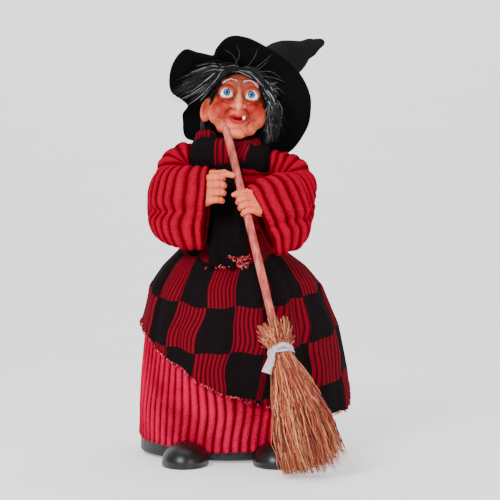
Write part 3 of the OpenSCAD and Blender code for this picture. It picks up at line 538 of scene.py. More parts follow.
def build_shawl():
    cols, rows = 1300, 96
    # more columns where the deep fold is
    grid = np.linspace(-180, 180, 3601)
    w = np.cumsum(1 + 2.2 * bell(grid, 23, 16))
    deg = np.interp(np.linspace(w[0], w[-1], cols), w, grid)
    hem = interp(deg, HEM) + 1.0 * np.sin(np.radians(deg) * 9) + 0.6 * np.sin(np.radians(deg) * 23)
    top = 185 - 2 * np.abs(np.sin(np.radians(deg) * 6))
    t = np.linspace(0, 1, rows)[:, None]
    z = top + (hem - top) * t
    d = np.broadcast_to(deg, z.shape)
    sag = 21 * (1 - np.cos(np.radians(np.clip(d, -110, 110))))
    v = (159 + sag - z) / SQUARE_H
    q = d + 4.2 - 3.5 * (3 - np.clip(v, -1, 4))
    q = q + 0.9 * np.sin(z / 9.5 + d / 11) + 0.6 * np.sin(z / 5.3 - d / 17)
    v = v + 0.03 * np.sin(d / 6.5 + 1) + 0.02 * np.sin(d / 2.9)
    # one column of squares is folded away behind the broom
    u = interp(q, [(-200, -9.6), (-92, -4.0), (-57.9, -3.0), (18, 18 / 19.3), (21.5, 2.03), (50, 3.0),
                   (79, 4.0), (99, 5.0), (220, 11.3)])
    su, sv = u * SQUARE_W, v * SQUARE_H
    striped = ((np.floor(u) + np.floor(v)) % 2 != 0).astype(float)
    rib = np.abs(np.sin(np.pi * (su / STRIPE))) ** 0.8 * striped
    r = shawl_point(d, z) + 0.5 * rib + 0.25 - 0.15 * striped
    r = r + smoothstep(0.985, 1.0, t) * 0.8
    a = np.radians(d)
    verts = np.stack([r * np.sin(a), -r * np.cos(a), z], -1).reshape(-1, 3)
    o = mesh("shawl_cloth", verts, grid_faces(rows, cols), M["knit"], "torso",
             attrs={"u": u, "v": v, "su": su, "sv": sv}, replaces=["shawl"])
    return hem, deg


def build_fray(hem, deg):
    """Loose ends of yarn along the shawl's edge; the scarf's loose ends use the same yarn."""
    parts = []
    for _ in range(330):
        d = rng.uniform(-120, 150)
        z = np.interp(d, deg, hem)
        r = float(shawl_point(np.array(d), np.array(z))) + 0.9
        a = math.radians(d)
        c = np.array([r * math.sin(a), -r * math.cos(a), z])
        out = np.array([math.sin(a), -math.cos(a), 0])
        side = np.array([math.cos(a), math.sin(a), 0])
        l = rng.uniform(0.8, 2.6)
        pts = [c, c + out * rng.uniform(0.2, 0.9) - np.array([0, 0, l * 0.6]) + side * rng.uniform(-1, 1),
               c + out * rng.uniform(0, 1.0) - np.array([0, 0, l]) + side * rng.uniform(-1.6, 1.6)]
        parts.append(tube(spline(pts, 5), rng.uniform(0.22, 0.4), 4) + (rng.uniform(0, 1),))
    k = Look("fray_yarn", RED, 0.9)
    k.set("Base Color", k.ramp(k.attr("tone"), [(0, srgb(60, 12, 18)), (0.35, srgb(190, 36, 50)),
                                                (0.7, srgb(226, 90, 86)), (1, srgb(214, 168, 96))],
                                                "CONSTANT"))
    v, f, tone = join(parts)
    mesh("shawl_fray", v, f, k.bump(k.noise(1200), 0.2).mat, "torso", attrs={"tone": tone})
    return k.mat


# ---------------------------------------------------------------- scarf

RINGS, SECTOR = 50, 3  # the sweep is kept by mm from the axis and by sectors of 3 degrees
SWEEP = np.full((RINGS, 360 // SECTOR), 400.0)
HEAD_TURN = 28  # the head's turn against the torso, in degrees either way, with a little to spare


def sweep_cell(p, turn=0.0):
    """Which ring and sector of the sweep each point is in once it has turned."""
    deg = np.degrees(np.arctan2(p[:, 0], -p[:, 1]))
    ring = np.clip(np.hypot(p[:, 0], p[:, 1]).astype(int), 0, RINGS - 1)
    return ring, ((deg + turn + 180) / SECTOR).astype(int) % (360 // SECTOR)


def sweep_head(p):
    """The lowest the head reaches as it turns, by distance from the axis and direction."""
    for turn in np.linspace(-HEAD_TURN, HEAD_TURN, 23):
        np.minimum.at(SWEEP, sweep_cell(p, turn), p[:, 2])
    low = SWEEP.copy()
    for di in (-1, 0, 1):
        for dj in (-1, 0, 1):
            low = np.minimum(low, np.roll(np.roll(SWEEP, di, 0), dj, 1))
    SWEEP[:] = low


def under_head(p):
    """Press the scarf down where the chin passes over it."""
    p[:, 2] = np.minimum(p[:, 2], SWEEP[sweep_cell(p)] - 0.7)
    return p


def loop_of_knit(name, cols, rows, shape, colour, replaces):
    """One turn of the scarf: shape(T) gives radius, half depth, middle height and half height."""
    T, P = np.meshgrid(np.linspace(-180, 180, cols), np.linspace(0, 360, rows))
    a, p = np.radians(T), np.radians(P)
    rc, half_r, z0, half_h = shape(T)
    wrinkle = 0.9 * np.sin(p * 3 + a * 2.2) + 0.7 * np.sin(a * 9 + p * 2) + 0.4 * np.sin(a * 17 - p)
    cp, sp = np.cos(p), np.sin(p)
    r = rc + (half_r + wrinkle * 0.7) * np.sign(cp) * np.abs(cp) ** 0.8
    z = z0 + (half_h + wrinkle * 0.5) * np.sign(sp) * np.abs(sp) ** 0.85
    u, su = colour(T, P)
    rib = 0.35 * np.abs(np.sin(np.pi * su / STRIPE)) * (np.floor(u) % 2 != 0)
    r = r + rib * np.sign(cp)
    verts = under_head(np.stack([r * np.sin(a), -r * np.cos(a), z], -1).reshape(-1, 3))
    o = mesh(name, verts, grid_faces(rows, cols), M["knit"], "torso",
             attrs={"u": u, "v": 0 * u, "su": su, "sv": P / 360 * 60.0}, replaces=replaces)


def build_scarf():
    def outer(T):
        gap, lobe_l, lobe_r = bell(T, 5, 13), bell(T, -52, 42), bell(T, 52, 36)
        return (24.5 + 4.0 * lobe_l + 2.6 * lobe_r, 8.2 + 1.2 * lobe_l - 1.5 * gap,
                250.5 - 1.2 * lobe_l - 6.6 * lobe_r - 4.5 * gap,
                11.2 + 2.6 * lobe_l + 1.4 * lobe_r - 1.5 * gap)

    def outer_colour(T, P):
        # right of the stick the squares lie slanted
        T = T - 9.0 * np.sin(np.radians(P)) * np.clip((T + 4) / 14, 0, 1) * np.clip((90 - T) / 40, 0, 1)
        u = interp(T, [(-180, -2.9), (-118, -0.01), (-117.9, 0.0), (-23.5, 0.999), (-23.4, 1.0),
                       (20.4, 1.999), (20.5, 2.0), (100, 2.999), (100.1, 3.0), (180, 3.9)])
        return u, (T - np.clip(T / 20, 0, 1) * 0.10 * (P - 90)) * 0.47

    loop_of_knit("scarf_outer_loop", 460, 90, outer, outer_colour, ["scarf_wrap"])

    def inner(T):
        front, left, right = bell(T, 8, 40), bell(T, -72, 40), bell(T, 66, 40)
        back = bell(np.abs(T), 180, 60)
        return (20.0 + 4.0 * left + 1.2 * front, 7.0 + 1.4 * left - 1.4 * front,
                258.5 - 8.0 * front + 1.2 * left - 3.0 * right - 4.5 * back,
                10.0 + left - 0.6 * right - back)

    def inner_colour(T, P):
        u = interp(T, [(-180, 1.0), (-40, 1.9), (-39.9, 2.0), (-26, 2.99), (-25.9, 3.0), (70, 3.99),
                       (70.1, 4.0), (100, 4.99), (100.1, 5.0), (180, 5.9)])
        return u, 0.45 * T + 0.09 * P

    loop_of_knit("scarf_inner_loop", 380, 80, inner, inner_colour, [])

    # the end that hangs down the chest
    cols, rows = 90, 120
    x = np.linspace(0, 1, cols)[None, :]
    t = np.linspace(0, 1, rows)[:, None]
    line = spline([(-37.0, 240), (-38.5, 222), (-39.5, 205), (-46.5, 184), (-55.5, 168), (-58.8, 160),
                   (-59.2, 155)], rows)
    wide = interp(t, [(0, 20), (0.5, 31), (1, 32)])
    mid = interp(t, [(0, -2), (0.5, -3.0), (1, -2.0)])
    xx = mid + (x - 0.5) * wide
    fold = 1.3 * np.sin(x * TAU * 1.5 + t * 2) + 0.9 * np.sin(x * TAU * 3 - t * 3)
    yy = line[:, 0][:, None] - fold * (0.4 + t * 0.8) + 5.0 * (np.abs(x - 0.5) * 2) ** 3 * (1 - 0.5 * t)
    zz = line[:, 1][:, None] + 0 * x + 0.8 * np.sin(x * 20)
    su = (xx + 0 * t).reshape(-1)
    o = mesh("scarf_tail", np.stack([xx, yy, zz], -1).reshape(-1, 3), grid_faces(rows, cols),
             M["black_knit"], "torso",
             attrs={"u": 0 * su, "v": 0 * su, "su": su, "sv": (t * 96 + 0 * x).reshape(-1)},
             replaces=["scarf_end"])
    sol = o.modifiers.new("thick", "SOLIDIFY")
    sol.thickness, sol.offset = 1.6 * MM, 0


def build_tail_fray(mat):
    parts = []
    for i in range(90):
        x = rng.uniform(-1, 15) if i % 4 else rng.uniform(-20, 15)
        low = i % 4 == 0
        c = np.array([x, -60.2 + rng.uniform(-0.8, 0.3),
                      155.4 + (rng.uniform(-0.5, 1) if low else rng.uniform(1, 9))])
        d = np.array([rng.uniform(-2.6, 2.6), rng.uniform(-1.2, 0.2), rng.uniform(-2.4, 2.2)])
        pts = [c, c + d * 0.5 + rng.normal(0, 0.4, 3), c + d]
        parts.append(tube(spline(pts, 5), rng.uniform(0.25, 0.42), 4) + (rng.uniform(0.2, 1),))
    v, f, tone = join(parts)
    mesh("scarf_fray", v, f, mat, "torso", attrs={"tone": tone})


# ---------------------------------------------------------------- sleeves and bodice

def cord_rings(name, rings, pitch, amp, crease, replaces, lump=0.0):
    """A stuffed cloth tube of ribs. Each ring: x and z of its top, x and z of its bottom, y, half depth."""
    per = 12
    q = spline(rings, 400)
    mid = np.stack([(q[:, 0] + q[:, 2]) / 2, q[:, 4], (q[:, 1] + q[:, 3]) / 2], 1)
    seg = np.r_[0, np.cumsum(np.linalg.norm(np.diff(mid, axis=0), axis=1))]
    count = max(3, int(round(seg[-1] / pitch)))
    s = np.linspace(0, seg[-1], count * per + 1)
    q = np.stack([np.interp(s, seg, q[:, i]) for i in range(6)], 1)
    c = np.stack([(q[:, 0] + q[:, 2]) / 2, q[:, 4], (q[:, 1] + q[:, 3]) / 2], 1)
    h = np.stack([(q[:, 0] - q[:, 2]) / 2, 0 * s, (q[:, 1] - q[:, 3]) / 2], 1)
    high = np.linalg.norm(h, axis=1)
    up = h / high[:, None]
    t = unit(np.gradient(c, axis=0))
    out = unit(np.cross(t, up))
    out *= np.where(out[:, 1:2] > 0, -1, 1)
    sides = 128
    ph = np.arange(sides) * TAU / sides
    cp, sp = np.cos(ph), np.sin(ph)
    k = (np.arange(len(s)) / per)[:, None] + 0.12 * np.sin(ph * 2 + 0.7) + 0.07 * np.sin(ph * 5 + 1.2)
    k[0] = 0
    rib = np.abs(np.sin(np.pi * k)) ** 0.6
    own = rng.normal(0, 0.35, count + 3)[np.clip(k.astype(int), 0, count + 2)] * amp * 0.5 * rib
    g = amp * (rib - 0.6) + own + lump * np.sin(ph * 4 + s[:, None] / 5) * np.sin(s[:, None] / 7 + ph)
    if crease:
        at, deep = crease
        line = np.arccos(at + 0.05 * np.sin(s / 9))[:, None]
        g = g - deep * (bell(ph[None, :], line, 0.13) * smoothstep(1.0, 0.55, s / s[-1])[:, None])
    flat = 0.84
    cx, sx = np.sign(cp) * np.abs(cp) ** flat, np.sign(sp) * np.abs(sp) ** flat
    v = (c[:, None] + ((high[:, None] + g) * cx)[..., None] * up[:, None]
         + ((q[:, 5:6] + g) * sx)[..., None] * out[:, None])
    first, last = [], []
    # the cuff turns in and shows a hollow, painted dark in the valley colour as painted shade; the far end
    # is closed inside the arm
    for pull, back in ((0.95, -0.9), (0.87, -0.3), (0.82, 1.6), (0.78, 7.0), (0.5, 9.0), (0.02, 9.5)):
        first.append(c[0] + (v[0] - c[0]) * pull + t[0] * back)
    for pull, back in ((0.8, 1.2), (0.4, 2.2), (0.02, 2.5)):
        last.append(c[-1] + (v[-1] - c[-1]) * pull + t[-1] * back)
    verts = np.vstack(first[::-1] + [v.reshape(-1, 3)] + last)
    # rib 0 round the cuff's hollow gives it the valley colour, a painted shade
    values = np.concatenate([np.zeros(sides * 4), np.full(sides * 2, 0.5), rib.reshape(-1),
                             np.full(sides * 3, 0.3)])
    o = mesh(name, verts, grid_faces(len(verts) // sides, sides, True), M["cord"], "torso",
             attrs={"rib": values},
             replaces=replaces)
    face_out(o)


def arm_rings(path, radius):
    """Rings for a round arm: the path's points with a radius each."""
    rows = []
    p = spline(path, 9)
    r = np.interp(np.linspace(0, 1, 9), np.linspace(0, 1, len(radius)), radius)
    t = np.gradient(p, axis=0)
    for i in range(9):
        up = unit(np.array([-t[i][2], 0, t[i][0]]) * np.sign(p[i][0]) * -1)
        if up[2] < -0.2:
            up = -up
        rows.append((p[i][0] + up[0] * r[i], p[i][2] + up[2] * r[i],
                     p[i][0] - up[0] * r[i], p[i][2] - up[2] * r[i], p[i][1], r[i]))
    return rows


# Each sleeve: rings of the forearm, its pitch, rib height and crease; path and radii of the shoulder
SLEEVES = {
    "sleeve_right": (
        [(-18.1, 236.5, -22.4, 170.0, -52, 14), (-32.8, 237.4, -36.8, 170.2, -50, 15),
         (-45.2, 238.3, -49.0, 173.2, -40, 16), (-53.4, 236.3, -56.4, 180.5, -26, 14.5),
         (-54.2, 230.0, -55.6, 190.5, -14, 11), (-55.2, 220.0, -55.4, 203.0, -5, 7)],
        6.6, 2.7, (-0.14, 6.0),
        [(-47.5, -8, 212), (-48.8, -4, 228), (-46.8, 1, 240), (-38, 3, 245.5), (-24, 3, 243)],
        [13, 14.8, 15.6, 15.2, 12.5]),
    "sleeve_left": (
        [(12.2, 219.8, 36.4, 164.6, -60, 12), (25.5, 227.3, 45.4, 168.3, -56, 14.0),
         (35.8, 230.1, 51.9, 171.0, -49, 15.5), (43.6, 231.1, 55.4, 178.0, -40, 16),
         (50.4, 232.8, 57.0, 190.0, -31, 15), (55.6, 234.8, 57.8, 202.5, -20, 13.5),
         (58.6, 234.5, 59.6, 210.0, -11, 10.5), (60.6, 228.0, 60.8, 217.0, -5, 5.5)],
        7.4, 2.8, (-0.30, 3.8),
        [(54.5, -7, 214), (55.5, -6, 226), (51.5, -3.5, 235), (40, -1, 239.5), (26, 1, 240.5)],
        [11.5, 12.8, 13.2, 13.4, 12.5]),
}


def build_sleeves():
    for node, (rings, pitch, amp, crease, path, radii) in SLEEVES.items():
        cord_rings(node + "_forearm", rings, pitch, amp, crease, [node])
        cord_rings(node + "_shoulder", arm_rings(path, radii), 6.2, 2.0, None, [], lump=0.9)


def build_bodice():
    rows, cols = 90, 600
    z = np.linspace(172, 247, rows)[:, None]
    a = np.linspace(0, TAU, cols, endpoint=False)[None, :]
    rib = np.abs(np.sin(np.pi * (z / 8.0))) ** 0.6 + 0 * a
    r = interp(z, [(169, 28.5), (190, 30), (215, 32.4), (232, 31.2), (240, 29.2), (246, 22),
                   (247, 19)]) + 0.9 * rib
    wide = 1 + 0.10 * smoothstep(215, 240, z) * np.sin(a) ** 2
    v = np.stack([r * np.sin(a) * wide, -r * np.cos(a), z + 0 * a], -1).reshape(-1, 3)
    o = mesh("bodice_cloth", v, grid_faces(rows, cols, True), M["cord"], "torso",
             attrs={"rib": rib.reshape(-1)},
             replaces=["bodice"])


# ---------------------------------------------------------------- skin

def skin():
    k = Look("doll_skin", srgb(236, 140, 104), 0.4, Specular_IOR_Level=0.35, Subsurface_Weight=0.03,
             Subsurface_Scale=0.002)
    k.bsdf.inputs["Subsurface Radius"].default_value = (1.0, 0.35, 0.2)
    base = k.mix(k.level(k.noise(110, 4), 0.35, 0.7), (0.84, 0.155, 0.065, 1), (0.68, 0.10, 0.036, 1))
    c = k.mix(k.attr("shade"), base, (0.13, 0.018, 0.006, 1))
    c = k.mix(k.attr("blush"), c, (0.36, 0.006, 0.002, 1))
    # crease colour: painted shade in the folds of the face and between the fingers
    c = k.mix(k.attr("crease"), c, (0.20, 0.014, 0.004, 1))
    # a lighter tint on the hands; painted highlight on the nose and chin
    c = k.mix(k.attr("pale_tint_and_highlight"), c, (0.95, 0.25, 0.125, 1))
    c = k.mix(k.attr("lip"), c, (0.40, 0.0, 0.008, 1))
    k.set("Base Color", c)
    k.set("Roughness", k.level(k.noise(500, 3), 0.3, 0.7, 0.44, 0.6))
    return k.bump(k.noise(900, 3), 0.06, 0.5).mat


HEAD = np.array([5.3, 0.0, 289.3])
ROLL = math.radians(5.5)


def to_head(p):
    """Head-local points to the row frame: rolled so the viewer's right eye is lower."""
    p = np.asarray(p, float)
    c, s = math.cos(ROLL), math.sin(ROLL)
    return np.stack([p[..., 0] * c + p[..., 2] * s, p[..., 1], -p[..., 0] * s + p[..., 2] * c], -1) + HEAD


EYES = np.array([(-10.4, -19.6, 10.2), (10.4, -19.6, 10.2)])


def mouth_line(x):
    return -11.2 - 0.8 * np.cos(x / 7.0 * 1.4) + 0.024 * x ** 2


# Smile folds, dimples, bags under the eyes, sides of the nose: path seen from the front, width, strength
LINES = [([(5.2, -3.0), (8.8, -6.0), (10.6, -10.5), (9.8, -13.5)], 1.1, 0.9),
         ([(8.6, -10.8), (12.0, -11.6), (15.5, -11.2)], 1.1, 0.8),
         ([(8.0, -14.5), (9.6, -20.5)], 0.8, 0.6), ([(4.8, 3.4), (9.5, 1.6), (15.0, 3.6)], 0.7, 0.5),
         ([(3.9, 9.5), (4.4, 3.5)], 1.0, 0.8), ([(2.8, 15.0), (2.0, 19.0)], 0.5, 0.5),
         ([(12.8, -7.0), (14.6, -14.5)], 0.8, 0.5)]


def from_front(x, z, points):
    """Distance from a line that is drawn on the face as seen from the front."""
    flat = (x, 0 * x, z)
    return limb(flat, [(a, 0, b) for a, b in points], [0.0] * len(points), 0.3).clip(0)


def face_lines(x, z):
    out = 0 * x
    for s in (-1, 1):
        for points, wide, deep in LINES:
            away = from_front(x, z, [(s * a, b) for a, b in points])
            out = np.maximum(out, deep * bell(away, 0, wide))
    return out


def head_sdf(p):
    x, y, z = p
    d = egg(p, (0, 4, 3.5), (23.5, 24, 26))
    d = smin(d, egg(p, (0, -5, -4), (19.5, 19, 22)), 6)
    d = smin(d, egg(p, (0, -7, 17), (19, 15.5, 12)), 6)
    for s in (-1, 1):
        d = smin(d, egg(p, (s * 14.6, -12.2, -7.0), (9.8, 9.4, 10.5), s * 14), 3.2)
        d = smin(d, egg(p, (s * 9.0, -20.0, -1.5), (6.5, 5.0, 4.6), s * 24), 2.4)
        d = smin(d, egg(p, (s * 9.0, -18.6, 18.4), (8.0, 3.2, 2.4), s * 14), 3.4)
        d = smin(d, egg(p, (s * 11, -15, -17), (6, 6.5, 6.5)), 3)
    # jaw and chin
    d = smin(d, egg(p, (0.2, -12, -19), (10.5, 11, 7.5)), 4)
    d = smin(d, egg(p, (0.8, -22.0, -23.2), (7.2, 5.0, 4.6), -6), 1.6)
    d = smin(d, egg(p, (0.3, -20.4, -10.5), (7.5, 5.2, 5.5)), 2.2)
    # sockets
    for e in EYES:
        s = np.sign(e[0])
        d = smax(d, -egg(p, e + (0, -5.0, 0.2), (7.6, 4.6, 5.6), -s * 8), 2.0)
    # nose
    d = smin(d, limb(p, [(0, -20.5, 15), (0, -23.8, 8.5), (0.2, -27.4, 2.5), (0.6, -31.0, -0.8)],
                     [2.6, 1.9, 2.4, 3.1], 1.6), 1.5)
    d = smin(d, limb(p, [(0.6, -31.2, -1.0), (0.8, -31.4, -3.4)], [2.8, 1.6], 1.0), 1.0)
    for s in (-1, 1):
        d = smin(d, egg(p, (0.3 + s * 4.3, -25.8, -1.4), (3.0, 4.0, 2.7), s * 20), 1.1)
        d = smax(d, -egg(p, (0.6 + s * 2.2, -28.6, -3.6), (1.0, 1.6, 0.8)), 0.5)
    d = d + 1.0 * face_lines(x, z) * smoothstep(-10, -14, y)
    for zz in (22.6, 25.6):
        line = limb(p, [(-9, -17.5, zz - 0.8), (0, -19.8, zz + 0.6), (9, -17.5, zz - 0.8)],
                    [0.2, 0.45, 0.2], 0.6)
        d = smax(d, -line, 0.9)
    # mouth: slit, lips
    line = mouth_line(x)
    slit = np.sqrt(((x - 1.2) / 6.0) ** 2 + ((z - line) / 1.7) ** 2 + ((y + 27.5) / 5.0) ** 2) - 1
    d = smax(d, -slit * 1.9, 0.6)
    m = [p[0] - 0.8, p[1], p[2]]
    up = limb(m, [(-7.4, -24.4, -9.6), (-3.4, -26.8, -8.4), (0.4, -27.2, -9.3), (4.2, -26.8, -8.4),
                  (8.2, -24.2, -9.4)],
              [0.5, 1.15, 1.0, 1.15, 0.5], 0.6)
    low = limb(m, [(-7.0, -24.2, -10.4), (-3.8, -26.4, -13.0), (0.4, -27.2, -14.0), (4.6, -26.4, -13.0),
                   (7.8, -24.0, -10.2)],
               [0.5, 1.25, 1.45, 1.25, 0.5], 0.6)
    d = smin(d, smin(up, low, 0.4), 0.7)
    # eyelids: a shell round each eyeball, open in an almond
    for e in EYES:
        s = np.sign(e[0])
        shell = np.abs(ball(p, e + (0, 0.2, 0), 6.7)) - 0.75
        xx, zz = (p[0] - e[0]) * s, p[2] - e[2]
        top = interp(xx, [(-7.5, -4.0), (-5.6, -2.0), (-2.5, 2.2), (1, 3.6), (4, 1.9), (6.4, -2.0),
                          (7.5, -4)])
        bot = interp(xx, [(-7.5, -4.0), (-5.6, -3.0), (-2, -4.2), (2, -4.5), (5, -3.8), (6.4, -2.6),
                          (7.5, -4)])
        gap = smax(zz - top, bot - zz, 0.5)
        gap = smax(gap, p[1] - (e[1] + 1.5), 0.3)
        shell = smax(shell, -gap * 0.8, 0.5)
        shell = smax(shell, p[1] - (e[1] + 3.0), 0.5)
        d = smin(d, shell, 0.9)
    # ears
    for s in (-1, 1):
        ear = egg(p, (s * 25.8, -3.0, -3.5), (5.8, 3.4, 10.8), s * 10)
        ear = smax(ear, -egg(p, (s * 27.2, -6.2, -2.5), (3.3, 2.8, 7.6), s * 10), 0.9)
        d = smin(d, ear, 1.2)
    return d


def build_head(mat):
    def hollow(p):
        return smax(head_sdf(p), -egg(p, (0, 4, 1), (19, 19, 21)), 0.8)

    v, f = surface(hollow, (-35, -37, -31), (35, 31, 33), 0.55)
    # colour masks
    x, y, z = v.T
    p = (x, y, z)
    blush, nostril_shade = np.zeros(len(v)), np.zeros(len(v))
    for s in (-1, 1):
        cheek = egg(p, (s * 13.4, -20, -3.4), (6.4, 8, 5.0), s * 18).clip(0)
        blush = np.maximum(blush, 0.95 * bell(cheek, 0, 4.2))
        blush = np.maximum(blush, 0.45 * bells((x, s * 9, 6), (z, 17, 4)))
        blush = np.maximum(blush, 0.85 * bells((x, s * 27.4, 3.2), (z, -2.5, 7.0), (y, -4.4, 2.6)))
        # painted shade in the nostrils
        nostril_shade = np.maximum(nostril_shade, 0.9 * bells((x - 0.6, s * 2.2, 0.9), (z, -3.9, 0.9), (y, -29, 3)))
    # crease: painted shade in the smile folds, dimples, bags under the eyes, beside the nose, in the
    # nostrils and in the groove above the chin
    crease = np.maximum(0.85 * face_lines(x, z) * (y < -11), nostril_shade)
    crease = np.maximum(crease, 0.55 * bells((z, -18.8, 1.2), (x, 0.5, 6)) * (y < -18))
    # painted highlight down the ridge of the nose and on the chin
    pale_tint_and_highlight = 0.9 * bell(x, 0.3, 2.4) * smoothstep(14, 4, z) * smoothstep(-8, -4, z) * (y < -21)
    pale_tint_and_highlight = np.maximum(pale_tint_and_highlight, 0.6 * bells((x, 0.8, 6), (z, -22, 4.5)) * (y < -17))
    lip_up = from_front(x - 0.8, z, [(-7.0, -9.9), (-3.4, -8.9), (0.4, -9.8), (4.2, -8.9), (7.6, -9.9)])
    lip_low = from_front(x - 0.8, z, [(-6.6, -10.6), (-3.8, -12.7), (0.4, -13.7), (4.6, -12.7),
                                      (7.2, -10.6)])
    lip = np.maximum(smoothstep(1.5, 1.0, lip_up), smoothstep(1.7, 1.2, lip_low)) * (y < -20)
    inside = (((x - 1.2) / 6.0) ** 2 + ((z - mouth_line(x)) / 2.4) ** 2 < 1) & (y > -27.5) & (y < -15)
    lip = np.where(inside, 1.0, lip)
    shade = 0.9 * smoothstep(9, 16, z) * (y < 0)
    shade = shade + 0.6 * smoothstep(13, 20, np.abs(x)) * smoothstep(4, 10, z)
    for s in (-1, 1):
        shade = np.maximum(shade, 0.55 * bells((x, s * 14, 4.5), (z, -14.5, 3.6)) * (y < -8))
        shade = np.maximum(shade, 0.7 * bells((x, s * 4.6, 1.8), (z, 6, 6.0)) * (y < -18))
    for e in EYES:
        rim = np.sqrt(((x - e[0]) / 8.2) ** 2 + ((z - e[2]) / 7.4) ** 2)
        shade = np.maximum(shade, 0.95 * bell(rim, 0.95, 0.32) * (y < -10))
    shade = shade.clip(0, 1)
    sweep_head(to_head(v))
    o = mesh("face_skin", to_head(v), f, mat, "head",
             attrs={"blush": blush, "crease": crease, "pale_tint_and_highlight": pale_tint_and_highlight, "lip": lip, "shade": shade},
             replaces=["face_shell", "head_back"])
    # tooth
    tv, tf = surface(lambda q: smax(egg(q, (5.8, -27.2, -10.0), (1.2, 1.0, 1.9)), -(q[2] + 11.7), 0.3),
                     (3.5, -30, -14), (8.5, -24, -7), 0.25)
    k = Look("tooth_paint", srgb(250, 246, 236), 0.25)
    k.set("Base Color", k.mix(k.level(k.noise(700), 0.4, 0.7), srgb(252, 250, 244), srgb(240, 232, 214)))
    mesh("tooth", to_head(tv), tf, k.mat, "head")


def build_eyes():
    k = Look("eye_gloss", srgb(240, 244, 248), 0.12, Specular_IOR_Level=0.3)
    r = k.attr("iris")
    white = k.mix(k.level(k.noise(900, 3), 0.6, 0.8, 0.0, 0.2), srgb(238, 243, 250), srgb(214, 196, 200))
    blue = k.mix(k.level(k.noise(1300, 2), 0.3, 0.7), srgb(44, 124, 172), srgb(10, 64, 112))
    c = k.mix(k.level(r, 0.56, 0.66), blue, srgb(6, 26, 50))
    c = k.mix(k.level(r, 0.76, 0.82), c, white)
    c = k.mix(k.level(r, 0.28, 0.33), srgb(2, 3, 6), c)
    k.set("Base Color", c)
    for e, node in zip(EYES, ("eye_right", "eye_left")):
        n, m = 44, 64
        pol = np.linspace(0.0, math.pi, n)[:, None]
        az = np.arange(m)[None, :] * TAU / m
        rr = 6.05 + 0.35 * bell(pol, 0, 0.36)
        gaze = Vector((0.03 * np.sign(e[0]) * -1, -1, -0.02)).normalized()
        rot = Vector((0, 0, 1)).rotation_difference(gaze).to_matrix()
        v = np.stack([rr * np.sin(pol) * np.cos(az), rr * np.sin(pol) * np.sin(az),
                      rr * np.cos(pol) + 0 * az], -1)
        v = v.reshape(-1, 3) @ np.array(rot).T
        iris = (pol / 0.66 + 0 * az).reshape(-1)
        mesh(node + "_ball", to_head(v + e), grid_faces(n, m, True), k.mat, "head", attrs={"iris": iris},
             replaces=[node])


# ---------------------------------------------------------------- hair

def hair_look(name, roots, tips, rough=0.42):
    k = Look(name, roots, rough, Specular_IOR_Level=0.14)
    k.set("Base Color", k.ramp(k.attr("tone"),
                               [(0.0, roots), (0.45, tuple(0.5 * (a + b) for a, b in zip(roots, tips))),
                                (1.0, tips)]))
    return k.bump(k.noise(1500, 2, vector=k.scaled(1, 1, 0.2)), 0.05, 0.4).mat


def strands(paths, name, mat, body, r0, sides=4, replaces=()):
    """Thin tapering tubes; each path comes with its tone and its thickness."""
    parts = []
    for path, tone, thick in paths:
        n = len(path)
        taper = np.r_[np.full(n - 3, 1.0), 0.8, 0.5, 0.2]
        parts.append(tube(path, r0 * thick * taper, sides) + (tone,))
    v, f, tone = join(parts)
    mesh(name, v, f, mat, body, attrs={"tone": tone}, replaces=replaces)


# The brim's wired edge, read from the photograph: degrees round the face, mm from the middle
EDGE = [(-180, 50.9), (-172, 44.5), (-165.5, 50.3), (-158.7, 52.5), (-146.8, 56.2), (-135, 50),
        (-110, 45), (-90, 44), (-70, 50), (-55, 59), (-43.7, 62.4), (-30.6, 63), (-18.7, 63.3),
        (-10.5, 62.4), (2.8, 60.8), (23.1, 55.5), (42, 50.2), (62.5, 46.0), (81.3, 46.6), (95.3, 47.6),
        (103.8, 46.4), (116, 41.8), (124.2, 38.8), (134.5, 49.8), (140, 59.8), (152.7, 62.6),
        (165, 61.4), (174.5, 58.3)]


def brim_edge(a):
    """Distance of the wired edge from the brim's middle, by angle, as a closed smooth curve."""
    rows = np.array([(b - 360, r) for b, r in EDGE] + EDGE + [(b + 360, r) for b, r in EDGE])
    c = spline(rows, 6000)
    return np.interp((a + 180) % 360 - 180, c[:, 0], c[:, 1])


def brim_point(a, s):
    """The middle of the brim's felt: a is degrees round the face, s runs from inner to outer edge."""
    a, s = np.broadcast_arrays(np.asarray(a, float), np.asarray(s, float))
    r = np.radians(a)
    low = np.sin(r) < 0
    near = 1 / np.hypot(np.cos(r) / 35, np.sin(r) / np.where(low, 33, 30))
    far = brim_edge(a)
    reach = near + np.where(s > 0, far - near, 22) * s
    depth = -24 * np.sin(r) + 7 * np.sin(2 * r + math.radians(40)) + 3 * np.sin(3 * r)
    x = 6 + np.cos(r) * reach
    y = 13 + depth * (0.55 + 0.45 * s) - np.where(low, 7 + 21 * np.sin(r), 7) * s.clip(0, 1)
    y = y + 16 * (-s).clip(0, 1) + 1.6 * np.sin(3 * r + 1) * s.clip(0, 1) ** 2
    z = 299 + np.sin(r) * reach
    return np.stack([x, y, z], -1)


def on_head(az, el, grow=1.0):
    """A point on the wig cap in head-local space: az from the front towards +X, el above the ears."""
    a, e = math.radians(az), math.radians(el)
    return np.array([24.0 * math.cos(e) * math.sin(a), 3 - 24.5 * math.cos(e) * math.cos(a),
                     3 + 27 * math.sin(e)]) * grow


